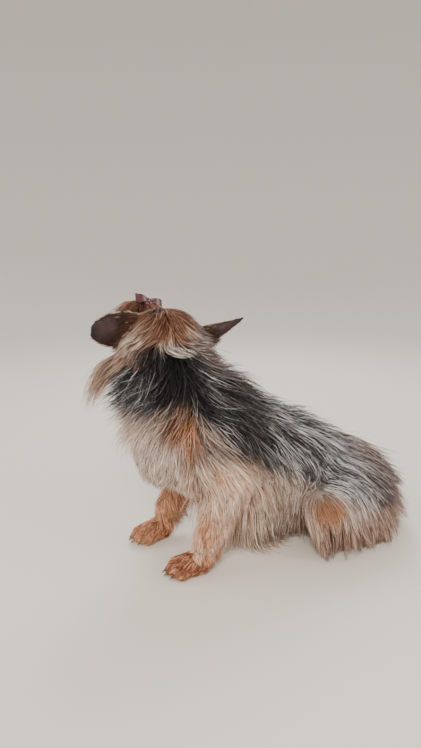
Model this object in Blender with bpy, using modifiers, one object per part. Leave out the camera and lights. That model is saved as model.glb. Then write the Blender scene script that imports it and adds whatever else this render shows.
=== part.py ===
"""A yorkshire terrier, life size, sitting with its head turned over its right shoulder.

Metres, +Z up, floor at zero. The dog faces -Y, and its left side is +X.
"""
import math
import random

import bmesh
import bpy
from mathutils import Matrix, Vector
from mathutils.bvhtree import BVHTree

MM = 0.001

# The gap between neighbouring nodes, and how thick the coat's dense part lies on the flesh.
GAP = 0.4 * MM
DENSE_COAT = 6 * MM
HEAD_COAT = 4 * MM
LEG_COAT = 2.5 * MM
PAW_COAT = 2 * MM
FLAT_DAMPING = 0.02
MOST_SWELL = 3
FLOOR_BLOCK = 0.1

# Joints of the near side. The far side mirrors them.
WITHERS = Vector((0, -0.045, 0.174))
PROSTERNUM = Vector((0, -0.108, 0.138))
FRONT_CHEST = Vector((0, -0.074, 0.132))
RIBS = Vector((0, -0.015, 0.123))
LAST_RIB = Vector((0, 0.035, 0.106))
LOIN = Vector((0, 0.080, 0.089))
CROUP = Vector((0, 0.120, 0.069))
SEAT = Vector((0, 0.150, 0.040))
SHOULDER = Vector((0.034, -0.078, 0.135))
ELBOW = Vector((0.046, -0.056, 0.100))
WRIST = Vector((0.044, -0.080, 0.032))
FORE_ANKLE = Vector((0.044, -0.084, 0.012))
HIP = Vector((0.032, 0.112, 0.062))
KNEE = Vector((0.066, 0.062, 0.058))
HOCK = Vector((0.057, 0.142, 0.018))
HIND_TOES = Vector((0.059, 0.098, 0.011))
TAIL_ROOT = Vector((0, 0.172, 0.052))
TAIL_BEND = Vector((-0.014, 0.196, 0.034))
TAIL_TIP = Vector((-0.040, 0.206, 0.020))
NECK_ROOT = Vector((0, -0.068, 0.160))
NECK_MIDDLE = Vector((-0.008, -0.092, 0.195))
NECK_TOP = Vector((-0.018, -0.103, 0.232))

# The head, in its own frame: it faces -Y there too.
HEAD_CENTRE = Vector((-0.033, -0.103, 0.254))
HEAD_TURN = math.radians(-86)
HEAD_DROP = math.radians(6)
SKULL_WIDTH = 0.062
SKULL_LENGTH = 0.070
SKULL_HEIGHT = 0.054
MUZZLE_REACH = 0.046
EYE_RADIUS = 0.0078
EYE_PLACE = Vector((0.0170, -0.0270, 0.0040))
NOSE_PLACE = Vector((0, -0.0545, -0.0040))
MOUTH_DROP = -0.0175
EAR_WALL = 2.4 * MM
EAR_SUNK = 0.008

# Each ear's root and the way it opens, given for the left side, the way it leans, its size,
# how late and how bluntly it narrows, and how far it is cupped, swept back and curved up.
EAR_SHAPES = {
    "left": {
        "root": Vector((0.0285, 0.0100, 0.0070)),
        "opening": Vector((0.30, -0.90, 0.30)),
        "lean": Vector((0.88, -0.05, 0.10)),
        "length": 0.061,
        "width": 0.046,
        "narrowing": 4.0,
        "bluntness": 0.5,
        "cup": 0.45,
        "sweep": 0.08,
        "rise": 0.0,
    },
    "right": {
        "root": Vector((0.0280, 0.0120, -0.0110)),
        "opening": Vector((0.35, -0.90, 0.25)),
        "lean": Vector((-0.86, 0.30, 0.20)),
        "length": 0.076,
        "width": 0.034,
        "narrowing": 2.2,
        "bluntness": 1.0,
        "cup": 0.62,
        "sweep": 0.06,
        "rise": 0.18,
    },
}
BAND_PLACE = Vector((0.0060, -0.0180, 0.0355))
BAND_RADIUS = 0.0060
BAND_THICKNESS = 1.2 * MM
TUFT_PLACE = BAND_PLACE + Vector((0.0090, -0.0100, 0.0030))
TUFT_TIP = BAND_PLACE + Vector((0.0220, -0.0190, -0.0120))
BOW_PLACE = BAND_PLACE + Vector((0, 0.0095, 0.0035))
BOW_REACH = 0.0150
BOW_WIDTH = 0.0100
BOW_DEPTH = 0.0062
BOW_WALL = 0.9 * MM
LID_RADIUS = 0.0068
LID_THICKNESS = 1.7 * MM
MOUTH_RADIUS = 0.0185
MOUTH_GROOVE = 1.1 * MM

# How much further forward and out the right forefoot stands.
RIGHT_STEP = Vector((-0.005, -0.013, 0))

# A lock's outline: shares of its length, of its width and of its thickness. Then how thick
# it is, how much of that lies below its course, how far clear it keeps, and how deep it roots.
LOCK_SHAPE = ((0, 0.50, 1), (0.12, 0.80, 1), (0.42, 1, 0.85), (0.74, 0.72, 0.6))
LOCK_THICKNESS = 3.0 * MM
LOCK_BELLY = 0.35
LOCK_SPREAD = 0.5 * MM
ROOT_DEPTH = 5 * MM

# How a lock is led: the steps of its course, how far out and across it looks for what lies
# under it, how far the skin holds it down, and how much of its heading and facing each step keeps.
PATH_STEPS = 16
LOOK_FROM = 0.035
LOOK_WIDTH = 0.38
FIELD_REACH = 0.020
NEAR_SKIN = 1 * MM
FIRST_LIFT = 0.1
HOLD_COURSE = 0.55
HOLD_FACING = 0.6
OUTSIDE = 0.25

# What changes from one try to the next where a lock would touch a neighbouring node.
MOST_TRIES = 6
MORE_LIFT = 1.2 * MM
SHORTER = 0.94
NARROWER = 0.90
FEWEST_STEPS = 5

# Seeds the draw that varies the locks' places, lengths and widths.
SEED = 7

# Brings the middle of the dog's plan to the origin.
ORIGIN_SHIFT = Vector((-0.0006, -0.0167, 0))

SIDES = (("left", 1), ("right", -1))
BODY_HOSTS = ("torso", "neck", "foreleg", "hindleg")


def clear_scene():
    for obj in list(bpy.data.objects):
        bpy.data.objects.remove(obj, do_unlink=True)


def collection(name):
    made = bpy.data.collections.new(name)
    bpy.context.scene.collection.children.link(made)
    return made


def material(name, colour, roughness, metallic=0.0):
    made = bpy.data.materials.new(name)
    made.use_nodes = True
    shader = made.node_tree.nodes["Principled BSDF"]
    shader.inputs["Base Color"].default_value = (*colour, 1)
    shader.inputs["Roughness"].default_value = roughness
    shader.inputs["Metallic"].default_value = metallic
    return made


def mirrored(point, sign):
    return Vector((point.x * sign, point.y, point.z))


def link_mesh(name, mesh):
    obj = bpy.data.objects.new(name, mesh)
    bpy.context.scene.collection.objects.link(obj)
    return obj


def bake(obj, name=None):
    """The object with its modifiers applied, as a new object in world space."""
    bpy.context.view_layer.update()
    graph = bpy.context.evaluated_depsgraph_get()
    mesh = bpy.data.meshes.new_from_object(obj.evaluated_get(graph))
    mesh.transform(obj.matrix_world)
    label = name or obj.name
    bpy.data.objects.remove(obj, do_unlink=True)
    made = link_mesh(label, mesh)
    made.name = label
    return made


def ball(centre, radii, turn=None):
    """One rounded mass: its centre, its three half sizes and its turn."""
    return centre, Vector(radii), turn or Matrix.Identity(4)


def limb(start, start_radius, end, end_radius, count=5):
    """A tapered run of round masses between two joints."""
    run = []
    for step in range(count):
        share = step / (count - 1)
        radius = start_radius + (end_radius - start_radius) * share
        run.append(ball(start.lerp(end, share), (radius, radius, radius)))
    return run


def fleshed(name, masses, voxel, smoothing, triangles):
    """One closed form: the masses fused, smoothed and thinned to a number of triangles."""
    shape = bmesh.new()
    for centre, radii, turn in masses:
        place = Matrix.Translation(centre) @ turn @ Matrix.Diagonal((*radii, 1))
        bmesh.ops.create_icosphere(shape, subdivisions=3, radius=1, matrix=place)
    mesh = bpy.data.meshes.new(name)
    shape.to_mesh(mesh)
    shape.free()
    obj = link_mesh(name, mesh)
    fuse = obj.modifiers.new("fuse", "REMESH")
    fuse.mode = "VOXEL"
    fuse.voxel_size = voxel
    soften = obj.modifiers.new("soften", "SMOOTH")
    soften.factor = 0.5
    soften.iterations = smoothing
    obj = bake(obj)
    obj.data.calc_loop_triangles()
    thin = obj.modifiers.new("thin", "DECIMATE")
    thin.ratio = min(1.0, triangles / len(obj.data.loop_triangles))
    thin.use_collapse_triangulate = True
    return bake(obj)


def largest_surface(obj):
    """Keeps the largest closed surface of a mesh, and drops scraps and sealed hollows."""
    shape = bmesh.new()
    shape.from_mesh(obj.data)
    bmesh.ops.triangulate(shape, faces=shape.faces)
    left = set(shape.faces)
    groups = []
    while left:
        reached = [left.pop()]
        group = []
        while reached:
            face = reached.pop()
            group.append(face)
            for edge in face.edges:
                for other in edge.link_faces:
                    if other in left:
                        left.remove(other)
                        reached.append(other)
        groups.append(group)
    groups.sort(key=lambda group: sum(face.calc_area() for face in group))
    for group in groups[:-1]:
        bmesh.ops.delete(shape, geom=group, context="FACES")
    loose = [vertex for vertex in shape.verts if not vertex.link_faces]
    bmesh.ops.delete(shape, geom=loose, context="VERTS")
    shape.to_mesh(obj.data)
    shape.free()
    return obj


def swollen(obj, reach):
    """A copy with every face moved out by the reach, to cut a neighbour with a thin gap."""
    shape = bmesh.new()
    shape.from_mesh(obj.data)
    shape.normal_update()
    moves = []
    for vertex in shape.verts:
        planes = Matrix.Identity(3) * FLAT_DAMPING
        total = Vector((0, 0, 0))
        for face in vertex.link_faces:
            planes += Matrix([face.normal * share for share in face.normal])
            total += face.normal
        move = planes.inverted() @ total * reach
        moves.append(move * min(1, MOST_SWELL * reach / move.length))
    for vertex, move in zip(shape.verts, moves):
        vertex.co += move
    mesh = bpy.data.meshes.new("cutter")
    shape.to_mesh(mesh)
    shape.free()
    return link_mesh(obj.name + "_cutter", mesh)


def cut(obj, cutter):
    """Cuts one closed mesh from another, removes the cutter and keeps the main piece."""
    blade = obj.modifiers.new("cut", "BOOLEAN")
    blade.operation = "DIFFERENCE"
    blade.object = cutter
    made = bake(obj)
    bpy.data.objects.remove(cutter, do_unlink=True)
    return largest_surface(made)


def fused(name, core, pieces):
    """Joins closed pieces to their core in one union."""
    if not pieces:
        return core
    group = collection(name + "_pieces")
    for piece in pieces:
        bpy.context.scene.collection.objects.unlink(piece)
        group.objects.link(piece)
    join = core.modifiers.new("join", "BOOLEAN")
    join.operation = "UNION"
    join.operand_type = "COLLECTION"
    join.solver = "MANIFOLD"
    join.collection = group
    made = bake(core, name)
    for piece in pieces:
        bpy.data.objects.remove(piece, do_unlink=True)
    bpy.data.collections.remove(group)
    return largest_surface(made)


def floor_cut(obj):
    """Takes off what dips below the floor, which leaves the flats the dog rests on."""
    if min(vertex.co.z for vertex in obj.data.vertices) >= 0:
        return obj
    shape = bmesh.new()
    bmesh.ops.create_cube(shape, size=1, matrix=Matrix.Diagonal((1, 1, FLOOR_BLOCK, 1)))
    mesh = bpy.data.meshes.new("floor")
    shape.to_mesh(mesh)
    shape.free()
    block = link_mesh("floor", mesh)
    block.location.z = -FLOOR_BLOCK / 2
    bpy.context.view_layer.update()
    return cut(obj, bake(block))


def head_frame():
    """The matrix from the head's own frame to the dog's."""
    turn = Matrix.Rotation(HEAD_TURN, 4, "Z")
    drop = Matrix.Rotation(HEAD_DROP, 4, "X")
    return Matrix.Translation(HEAD_CENTRE) @ turn @ drop


def torso_masses(coat):
    def grown(centre, x, y, z):
        return ball(centre, (x + coat, y + coat, z + coat))

    masses = [
        grown(WITHERS, 0.022, 0.040, 0.028),
        grown(PROSTERNUM, 0.034, 0.030, 0.036),
        grown(FRONT_CHEST, 0.044, 0.042, 0.054),
        grown(RIBS, 0.048, 0.055, 0.053),
        grown(LAST_RIB, 0.046, 0.045, 0.048),
        grown(LOIN, 0.042, 0.042, 0.043),
        grown(CROUP, 0.044, 0.038, 0.045),
        grown(SEAT, 0.042, 0.030, 0.036),
    ]
    for _, sign in SIDES:
        masses.append(grown(mirrored(SHOULDER, sign), 0.022, 0.032, 0.042))
    return masses


def neck_masses(coat):
    return limb(NECK_ROOT, 0.040 + coat, NECK_MIDDLE, 0.034 + coat) + limb(
        NECK_MIDDLE, 0.034 + coat, NECK_TOP, 0.029 + coat
    )


def forefoot_joint(joint, sign):
    """A joint of the lower foreleg, with the right one a little further forward."""
    return mirrored(joint, sign) + (RIGHT_STEP if sign < 0 else Vector((0, 0, 0)))


def foreleg_masses(sign, coat):
    shoulder, elbow = (mirrored(joint, sign) for joint in (SHOULDER, ELBOW))
    wrist, ankle = (forefoot_joint(joint, sign) for joint in (WRIST, FORE_ANKLE))
    return (
        limb(shoulder, 0.026 + coat, elbow, 0.018 + coat)
        + limb(elbow, 0.016 + coat, wrist, 0.0105 + coat, 7)
        + limb(wrist, 0.0105 + coat, ankle, 0.0090 + coat, 3)
    )


def paw_masses(ankle, turn, coat, scale=1.0):
    """A paw with four toes, seen from its ankle. The turn is about the upright axis."""
    frame = Matrix.Translation(ankle) @ Matrix.Rotation(turn, 4, "Z")
    toe_spread = 0.0082 * scale
    masses = [
        ball(frame @ Vector((0, -0.002, 0)), [0.0125 * scale + coat] * 3),
        ball(
            frame @ Vector((0, -0.014 * scale, -0.001)),
            (0.015 * scale + coat, 0.016 * scale + coat, 0.011 * scale + coat),
            Matrix.Rotation(turn, 4, "Z"),
        ),
    ]
    for place in (-1.5, -0.5, 0.5, 1.5):
        reach = 0.031 if abs(place) < 1 else 0.026
        toe = Vector((place * toe_spread, -reach * scale, -0.0035 * scale))
        masses.append(
            ball(
                frame @ toe,
                (0.0058 * scale + coat, 0.0090 * scale + coat, 0.0068 * scale + coat),
                Matrix.Rotation(turn, 4, "Z"),
            )
        )
    return masses


def hindleg_masses(sign, coat):
    hip, knee, hock = (mirrored(joint, sign) for joint in (HIP, KNEE, HOCK))
    return limb(hip, 0.038 + coat, knee, 0.024 + coat, 6) + limb(
        knee, 0.022 + coat, hock, 0.012 + coat, 7
    )


def hindpaw_masses(sign, coat):
    hock, toes = (mirrored(joint, sign) for joint in (HOCK, HIND_TOES))
    return limb(hock, 0.0115 + coat, toes, 0.0115 + coat, 5) + paw_masses(
        toes, -0.1 * sign, coat, 0.92
    )


def tail_masses(coat):
    return limb(TAIL_ROOT, 0.014 + coat, TAIL_BEND, 0.010 + coat) + limb(
        TAIL_BEND, 0.010 + coat, TAIL_TIP, 0.006 + coat
    )


def head_masses(coat):
    """The skull, brows, cheeks, muzzle, lips and jaw, in the head's own frame."""
    half_width = SKULL_WIDTH / 2
    masses = [
        ball(
            Vector((0, 0.006, 0.002)),
            (half_width + coat, SKULL_LENGTH / 2 + coat, SKULL_HEIGHT / 2 + coat),
        ),
        ball(Vector((0, -0.014, 0.006)), (0.023 + coat, 0.022 + coat, 0.020 + coat)),
    ]
    bridge = Vector((0, -0.026, -0.003))
    muzzle_end = Vector((0, -MUZZLE_REACH, -0.0090))
    masses += limb(bridge, 0.0185, muzzle_end, 0.0118, 6)
    masses += limb(Vector((0, -0.018, -0.020)), 0.0135, Vector((0, -0.041, -0.0215)), 0.0090, 5)
    for _, sign in SIDES:
        cheek = Vector((0.017 * sign, -0.006, -0.010))
        masses.append(ball(cheek, (0.015 + coat, 0.020 + coat, 0.015 + coat)))
        brow = Vector((0.0125 * sign, -0.0240, 0.0125))
        masses.append(ball(brow, (0.0085, 0.0080, 0.0065)))
        lip_back = Vector((0.0110 * sign, -0.028, -0.013))
        lip_front = Vector((0.0075 * sign, -MUZZLE_REACH + 0.002, -0.0115))
        masses += limb(lip_back, 0.0090, lip_front, 0.0080, 5)
    return masses


def torus(name, place, major, minor, major_steps, minor_steps):
    """A ring as a mesh, with its shape set by a matrix."""
    bpy.ops.mesh.primitive_torus_add(
        major_radius=major,
        minor_radius=minor,
        major_segments=major_steps,
        minor_segments=minor_steps,
    )
    ring = bpy.context.object
    ring.name = name
    ring.matrix_world = place
    return bake(ring)


def looking(place, direction):
    """A frame at a place with its +Z along a direction."""
    return Matrix.Translation(place) @ direction.to_track_quat("Z", "Y").to_matrix().to_4x4()


def eye_direction(sign):
    return Vector((0.62 * sign, -0.76, 0.12)).normalized()


def sphere(name, centre, radius):
    bpy.ops.mesh.primitive_uv_sphere_add(
        radius=radius, segments=12, ring_count=8, location=centre
    )
    made = bpy.context.object
    made.name = name
    return bake(made)


def build_head(form):
    """The head with its sockets, lids and mouth line, still in its own frame."""
    head = link_mesh("head", form.data.copy())
    groove = Matrix.Translation((0, -0.029, MOUTH_DROP)) @ Matrix.Diagonal((1, 1.5, 1, 1))
    head = cut(head, torus("mouth_line", groove, MOUTH_RADIUS, MOUTH_GROOVE, 22, 5))
    lids = []
    for _, sign in SIDES:
        direction = eye_direction(sign)
        eye = mirrored(EYE_PLACE, sign)
        rim = looking(eye + direction * 0.0042, direction) @ Matrix.Diagonal((1.06, 0.86, 1, 1))
        lids.append(torus("lids", rim, LID_RADIUS, LID_THICKNESS, 14, 5))
    head = fused("head", head, lids)
    for _, sign in SIDES:
        head = cut(head, sphere("socket", mirrored(EYE_PLACE, sign), EYE_RADIUS + GAP))
    head.name = "head"
    return head


def build_nose():
    """The nose leather with its two nostrils, in the head's frame."""
    nose = fleshed(
        "nose",
        [
            ball(NOSE_PLACE, (0.0085, 0.0065, 0.0062)),
            ball(NOSE_PLACE + Vector((0, 0.002, 0.002)), (0.0070, 0.0060, 0.0055)),
        ],
        0.9 * MM,
        3,
        150,
    )
    for _, sign in SIDES:
        nostril = NOSE_PLACE + Vector((0.0042 * sign, -0.0058, -0.0006))
        bpy.ops.mesh.primitive_uv_sphere_add(radius=1, segments=8, ring_count=5)
        hole = bpy.context.object
        turn = Matrix.Rotation(0.5 * sign, 4, "Y")
        hole.matrix_world = (
            Matrix.Translation(nostril) @ turn @ Matrix.Diagonal((0.0013, 0.0030, 0.0021, 1))
        )
        nose = cut(nose, bake(hole))
    nose.name = "nose_form"
    return nose


def sheet(name, rows, thickness):
    """A thin closed piece: a grid of points as a surface, given a wall on both sides."""
    shape = bmesh.new()
    grid = [[shape.verts.new(point) for point in row] for row in rows]
    for row, following in zip(grid, grid[1:]):
        for column in range(len(row) - 1):
            shape.faces.new((row[column], row[column + 1], following[column + 1], following[column]))
    mesh = bpy.data.meshes.new(name)
    shape.to_mesh(mesh)
    shape.free()
    obj = link_mesh(name, mesh)
    wall = obj.modifiers.new("wall", "SOLIDIFY")
    wall.thickness = thickness
    wall.offset = 0
    obj = bake(obj)
    shape = bmesh.new()
    shape.from_mesh(obj.data)
    bmesh.ops.recalc_face_normals(shape, faces=shape.faces)
    bmesh.ops.triangulate(shape, faces=shape.faces)
    shape.to_mesh(obj.data)
    shape.free()
    return obj


def build_ear(name, sign, shape):
    """An ear as a bent trough of even thickness."""
    along = shape["lean"].normalized()
    across = along.cross(mirrored(shape["opening"], sign)).normalized() * sign
    inward = across.cross(along).normalized() * sign
    root = mirrored(shape["root"], sign) - along * EAR_SUNK
    length = shape["length"]
    steps, lanes = 7, 4
    rows = []
    for step in range(steps + 1):
        share = step / steps
        taper = (1 - share ** shape["narrowing"]) ** shape["bluntness"]
        taper *= 0.82 + 0.18 * math.sin(math.pi * share)
        half = shape["width"] / 2 * taper + EAR_WALL / 2
        bend = length * share * share
        middle = root + along * length * share + Vector((0, 0, shape["rise"] * bend))
        row = []
        for lane in range(lanes + 1):
            side = 2 * lane / lanes - 1
            depth = shape["cup"] * half * (side * side - 0.4) - shape["sweep"] * bend
            spread = half * side * (1 - 0.12 * side * side)
            row.append(middle + across * spread + inward * depth)
        rows.append(row)
    return sheet(name, rows, EAR_WALL)


def topknot_masses():
    """The crown hair gathered to the band, with its tuft falling forward, in the head's frame."""
    foot = Vector((0, -0.004, 0.024))
    gathered = BAND_RADIUS - BAND_THICKNESS - GAP
    return (
        limb(foot, 0.0150, BAND_PLACE, gathered, 6)
        + limb(BAND_PLACE, gathered, TUFT_PLACE, 0.0085, 5)
        + limb(TUFT_PLACE, 0.0085, TUFT_TIP, 0.0030, 5)
    )


def build_bow():
    """A ribbon bow of two open loops and a knot, behind the band, in the head's frame."""
    steps = 9
    mouth = 0.03
    loops = []
    for _, sign in SIDES:
        rows = []
        for step in range(steps + 1):
            angle = 2 * math.pi * (mouth + (1 - 2 * mouth) * step / steps)
            out = BOW_REACH * (1 - math.cos(angle)) / 2
            away = BOW_DEPTH / 2 * math.sin(angle)
            half = BOW_WIDTH / 2 * (0.42 + 0.58 * math.sin(math.pi / 2 * out / BOW_REACH))
            rise = 0.22 * out * sign
            middle = BOW_PLACE + Vector((out * sign, away, rise))
            rows.append([middle + Vector((0, 0, half * side)) for side in (-1, 1)])
        loops.append(sheet("loop", rows, BOW_WALL))
    bpy.ops.mesh.primitive_uv_sphere_add(radius=1, segments=8, ring_count=6)
    knot = bpy.context.object
    knot.name = "knot"
    size = Matrix.Diagonal((0.0030, 0.0036, 0.0036, 1))
    knot.matrix_world = Matrix.Translation(BOW_PLACE) @ size
    return fused("bow_form", bake(knot), loops)


def node_from(form, *neighbours):
    """A node: a copy of its form, cut clear of the forms beside it."""
    made = link_mesh("node", form.data.copy())
    for neighbour in neighbours:
        made = cut(made, swollen(neighbour, GAP))
    made.name = form.name.removesuffix("_form")
    return made


def build_head_parts():
    """The head and what it carries, built in its own frame and then set in place."""
    head_form = fleshed("head_form", head_masses(HEAD_COAT), 1.7 * MM, 4, 860)
    head = build_head(head_form)
    nose = node_from(build_nose(), head_form)
    ears = [
        node_from(build_ear("ear_" + side + "_form", sign, EAR_SHAPES[side]), head_form)
        for side, sign in SIDES
    ]
    eyes = [
        sphere("eye_" + side, mirrored(EYE_PLACE, sign), EYE_RADIUS) for side, sign in SIDES
    ]
    band_place = Matrix.Translation(BAND_PLACE)
    band = torus("topknot_band", band_place, BAND_RADIUS, BAND_THICKNESS, 12, 5)
    topknot_form = fleshed("topknot_form", topknot_masses(), 1.4 * MM, 3, 170)
    topknot = node_from(topknot_form, head_form, band)
    bow = node_from(build_bow(), topknot_form, band)
    pieces = [head, nose, topknot, band, bow, *ears, *eyes]
    for piece in (head_form, *pieces):
        piece.data.transform(head_frame())
    return head_form, pieces


def clear_of_neck(part, neck):
    """An ear is cut clear of the neck too, since its root reaches down behind the cheek."""
    return cut(part, swollen(neck, GAP)) if part.name.startswith("ear_") else part


def build_forms():
    """The smooth forms of the body, by name, before any is cut by another."""
    shapes = [
        ("torso", torso_masses(DENSE_COAT), 4, 14, 700),
        ("neck", neck_masses(DENSE_COAT), 3.5, 6, 340),
        ("tail", tail_masses(LEG_COAT), 2.2, 3, 150),
    ]
    for side, sign in SIDES:
        ankle = forefoot_joint(FORE_ANKLE, sign)
        shapes += [
            ("foreleg_" + side, foreleg_masses(sign, LEG_COAT), 2.5, 4, 240),
            ("forepaw_" + side, paw_masses(ankle, -0.12 * sign, PAW_COAT), 1.6, 2, 250),
            ("hindleg_" + side, hindleg_masses(sign, DENSE_COAT), 3, 5, 250),
            ("hindpaw_" + side, hindpaw_masses(sign, PAW_COAT), 1.8, 2, 250),
        ]
    return {
        name: fleshed(name + "_form", masses, voxel * MM, smoothing, triangles)
        for name, masses, voxel, smoothing, triangles in shapes
    }


def tree_of(meshes):
    """One search tree over several meshes, each a pair of points and faces."""
    points, faces = [], []
    for mesh_points, mesh_faces in meshes:
        start = len(points)
        points += mesh_points
        faces += [[start + corner for corner in face] for face in mesh_faces]
    return BVHTree.FromPolygons(points, faces)


def mesh_of(obj):
    points = [vertex.co.copy() for vertex in obj.data.vertices]
    return points, [list(face.vertices) for face in obj.data.polygons]


def inside(tree, point):
    spot, normal, _, _ = tree.find_nearest(point)
    return (point - spot).dot(normal) < 0


def blend(low, high, value, start, end):
    """A value that eases from start to end as another goes from low to high."""
    share = min(1, max(0, (value - low) / (high - low)))
    return start + (end - start) * share * share * (3 - 2 * share)


def torso_lie(point, outward):
    """The body coat falls down and back from its parting, and forward down the chest."""
    upward = max(0, outward.z)
    side = math.copysign(0.5 * upward, point.x)
    back = blend(-0.12, -0.02, point.y, -0.35, 0.50) * blend(0.03, 0.12, point.z, 0.5, 1)
    return Vector((side, back + 0.5 * upward * (point.y > -0.06), -1))


def neck_lie(point, outward):
    """The ruff falls down the neck and spreads over the shoulders."""
    along = (NECK_ROOT - NECK_TOP).normalized()
    flat = Vector((outward.x, outward.y, 0))
    return along * 0.5 + Vector((0, 0, -0.6)) + flat * 0.35


def thigh_lie(point, outward):
    return Vector((outward.x * 0.2, 0.35, -1))


def foreleg_lie(point, outward):
    return Vector((outward.x * 0.1, 0.45, -1))


def tail_lie(point, outward):
    return (TAIL_TIP - TAIL_ROOT).normalized() * 0.8 + Vector((outward.x * 0.4, 0, -0.7))


def head_lie(fall):
    """A fall in the head's own frame, the same on both sides."""
    frame = head_frame()
    turn = frame.to_3x3()
    back = frame.inverted()

    def lie(point, outward):
        side = math.copysign(1, (back @ point).x)
        return turn @ Vector((fall.x * side, fall.y, fall.z))

    return lie


def evened(path):
    """A course with each inner place drawn towards its neighbours."""
    inner = []
    for before, here, after in zip(path, path[1:], path[2:]):
        point = (before[0] + here[0] * 2 + after[0]) / 4
        inner.append((point, (before[1] + here[1] + after[1]).normalized()))
    return [path[0], *inner, path[-1]]


def lock_path(skin, cover, root, outward, lie, sizes):
    """A lock's course from its root: it follows the lie and keeps above all that is laid."""
    length, width, lift = sizes
    wish = lie(root, outward)
    heading = (wish - outward * wish.dot(outward)).normalized()
    point = root
    path = [(root - outward * ROOT_DEPTH, outward)]
    step = length / PATH_STEPS
    for index in range(1, PATH_STEPS + 1):
        spot, normal, _, distance = skin.find_nearest(point)
        clearly_out = distance > NEAR_SKIN and not inside(skin, point)
        away = (point - spot).normalized() if clearly_out else normal
        outward = (outward * HOLD_FACING + away * (1 - HOLD_FACING)).normalized()
        wish = lie(point, outward).normalized()
        hold = max(0, 1 - distance / FIELD_REACH)
        wish -= outward * wish.dot(outward) * hold
        heading = (heading * HOLD_COURSE + wish * (1 - HOLD_COURSE)).normalized()
        point = point + heading * step
        clear = lift * (FIRST_LIFT + index / PATH_STEPS)
        across = outward.cross(heading).normalized()
        rise = 0
        for side in (-1, 0, 1):
            start = point + across * (side * width * LOOK_WIDTH) + outward * LOOK_FROM
            _, _, _, travel = cover.ray_cast(start, -outward, LOOK_FROM + clear)
            if travel is not None:
                rise = max(rise, LOOK_FROM - travel + clear)
        point = point + outward * rise
        if point.z < LOCK_THICKNESS:
            break
        path.append((point, outward))
    return evened(evened(path))


def point_on(path, share):
    place = share * (len(path) - 1)
    index = min(int(place), len(path) - 2)
    rest = place - index
    point = path[index][0].lerp(path[index + 1][0], rest)
    return point, path[index][1].lerp(path[index + 1][1], rest).normalized()


def lock_mesh(path, width, thickness, extra):
    """A flat lock with a low ridge on both faces, tapering to a point. Extra widens it all round."""
    points, faces = [], []
    tip, _ = point_on(path, 1)
    for share, wide, thick in LOCK_SHAPE:
        here, outward = point_on(path, share)
        ahead, _ = point_on(path, min(1, share + 0.1))
        across = outward.cross(ahead - here).normalized()
        half = width * wide / 2 + extra
        ridge = thickness * thick + extra
        points += [
            here + across * half,
            here + outward * ridge * (1 - LOCK_BELLY),
            here - across * half,
            here - outward * ridge * LOCK_BELLY,
        ]
    rings = len(LOCK_SHAPE)
    for ring in range(rings - 1):
        for corner in range(4):
            first = ring * 4 + corner
            second = ring * 4 + (corner + 1) % 4
            # Both edge faces of a side split from the same edge, so the faces can't cross.
            if corner in (0, 2):
                faces += [[first, second, second + 4], [first, second + 4, first + 4]]
            else:
                faces += [[first, second, first + 4], [second, second + 4, first + 4]]
    last = (rings - 1) * 4
    end = tip + (tip - points[last]).normalized() * extra
    points.append(end)
    faces += [[last + corner, last + (corner + 1) % 4, len(points) - 1] for corner in range(4)]
    faces += [[0, 3, 2], [0, 2, 1]]
    return points, faces


def lock_object(points, faces):
    mesh = bpy.data.meshes.new("lock")
    mesh.from_pydata(points, [], faces)
    shape = bmesh.new()
    shape.from_mesh(mesh)
    bmesh.ops.recalc_face_normals(shape, faces=shape.faces)
    shape.to_mesh(mesh)
    shape.free()
    return link_mesh("lock", mesh)


def host_at(coat, centre, direction):
    """The node whose surface shows where a ray from outside meets the dog, with the place."""
    ray = direction.normalized()
    start = centre + ray * OUTSIDE
    found = None
    for name, tree in coat["trees"].items():
        spot, normal, _, travel = tree.ray_cast(start, -ray, OUTSIDE)
        if spot is not None and (found is None or travel < found[3]):
            found = (name, spot, normal, travel)
    return found


def crosses(coat, owner, lock):
    """Whether a lock touches another node or any of its locks."""
    own = tree_of([lock])
    others = [tree for name, tree in coat["trees"].items() if name != owner]
    others += [tree for name, tree in coat["lock_trees"] if name != owner]
    return any(own.overlap(tree) for tree in others)


def lay_locks(coat, hosts, roots, lie, sizes):
    """Lays one tier of locks over what lies there, even ones before odd ones."""
    draw = coat["draw"]
    for centre, direction in roots[0::2] + roots[1::2]:
        found = host_at(coat, centre, direction)
        if found is None or not found[0].startswith(hosts):
            continue
        owner, spot, normal, _ = found
        laid = [lock for group in coat["locks"].values() for lock in group]
        cover = tree_of([*coat["cores"].values(), *laid])
        length = sizes[0] * draw.uniform(0.85, 1.15)
        width = sizes[1] * draw.uniform(0.9, 1.1)
        lift = sizes[2]
        for _ in range(MOST_TRIES):
            path = lock_path(coat["skin"], cover, spot, normal, lie, (length, width, lift))
            room = lock_mesh(path, width, LOCK_THICKNESS, LOCK_SPREAD)
            if len(path) > FEWEST_STEPS and not crosses(coat, owner, room):
                lock = lock_mesh(path, width, LOCK_THICKNESS, 0)
                coat["locks"][owner].append(lock)
                coat["lock_trees"].append((owner, tree_of([lock])))
                break
            length *= SHORTER
            width *= NARROWER
            lift += MORE_LIFT


def spine_at(y):
    """The middle of the body at a distance along it."""
    joints = (FRONT_CHEST, RIBS, LAST_RIB, LOIN, CROUP, SEAT)
    for first, second in zip(joints, joints[1:]):
        if y <= second.y:
            return first.lerp(second, max(0, (y - first.y) / (second.y - first.y)))
    return joints[-1]


def flank_roots(start, end, count, angle, draw):
    """Places for a tier of flank locks: rays from the spine out to both sides."""
    roots = []
    for _, sign in SIDES:
        for index in range(count):
            y = start + (end - start) * (index + 0.5 + draw.uniform(-0.15, 0.15)) / count
            tilt = math.radians(angle + draw.uniform(-4, 4))
            roots.append((spine_at(y), Vector((math.sin(tilt) * sign, 0, math.cos(tilt)))))
    return roots


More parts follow.
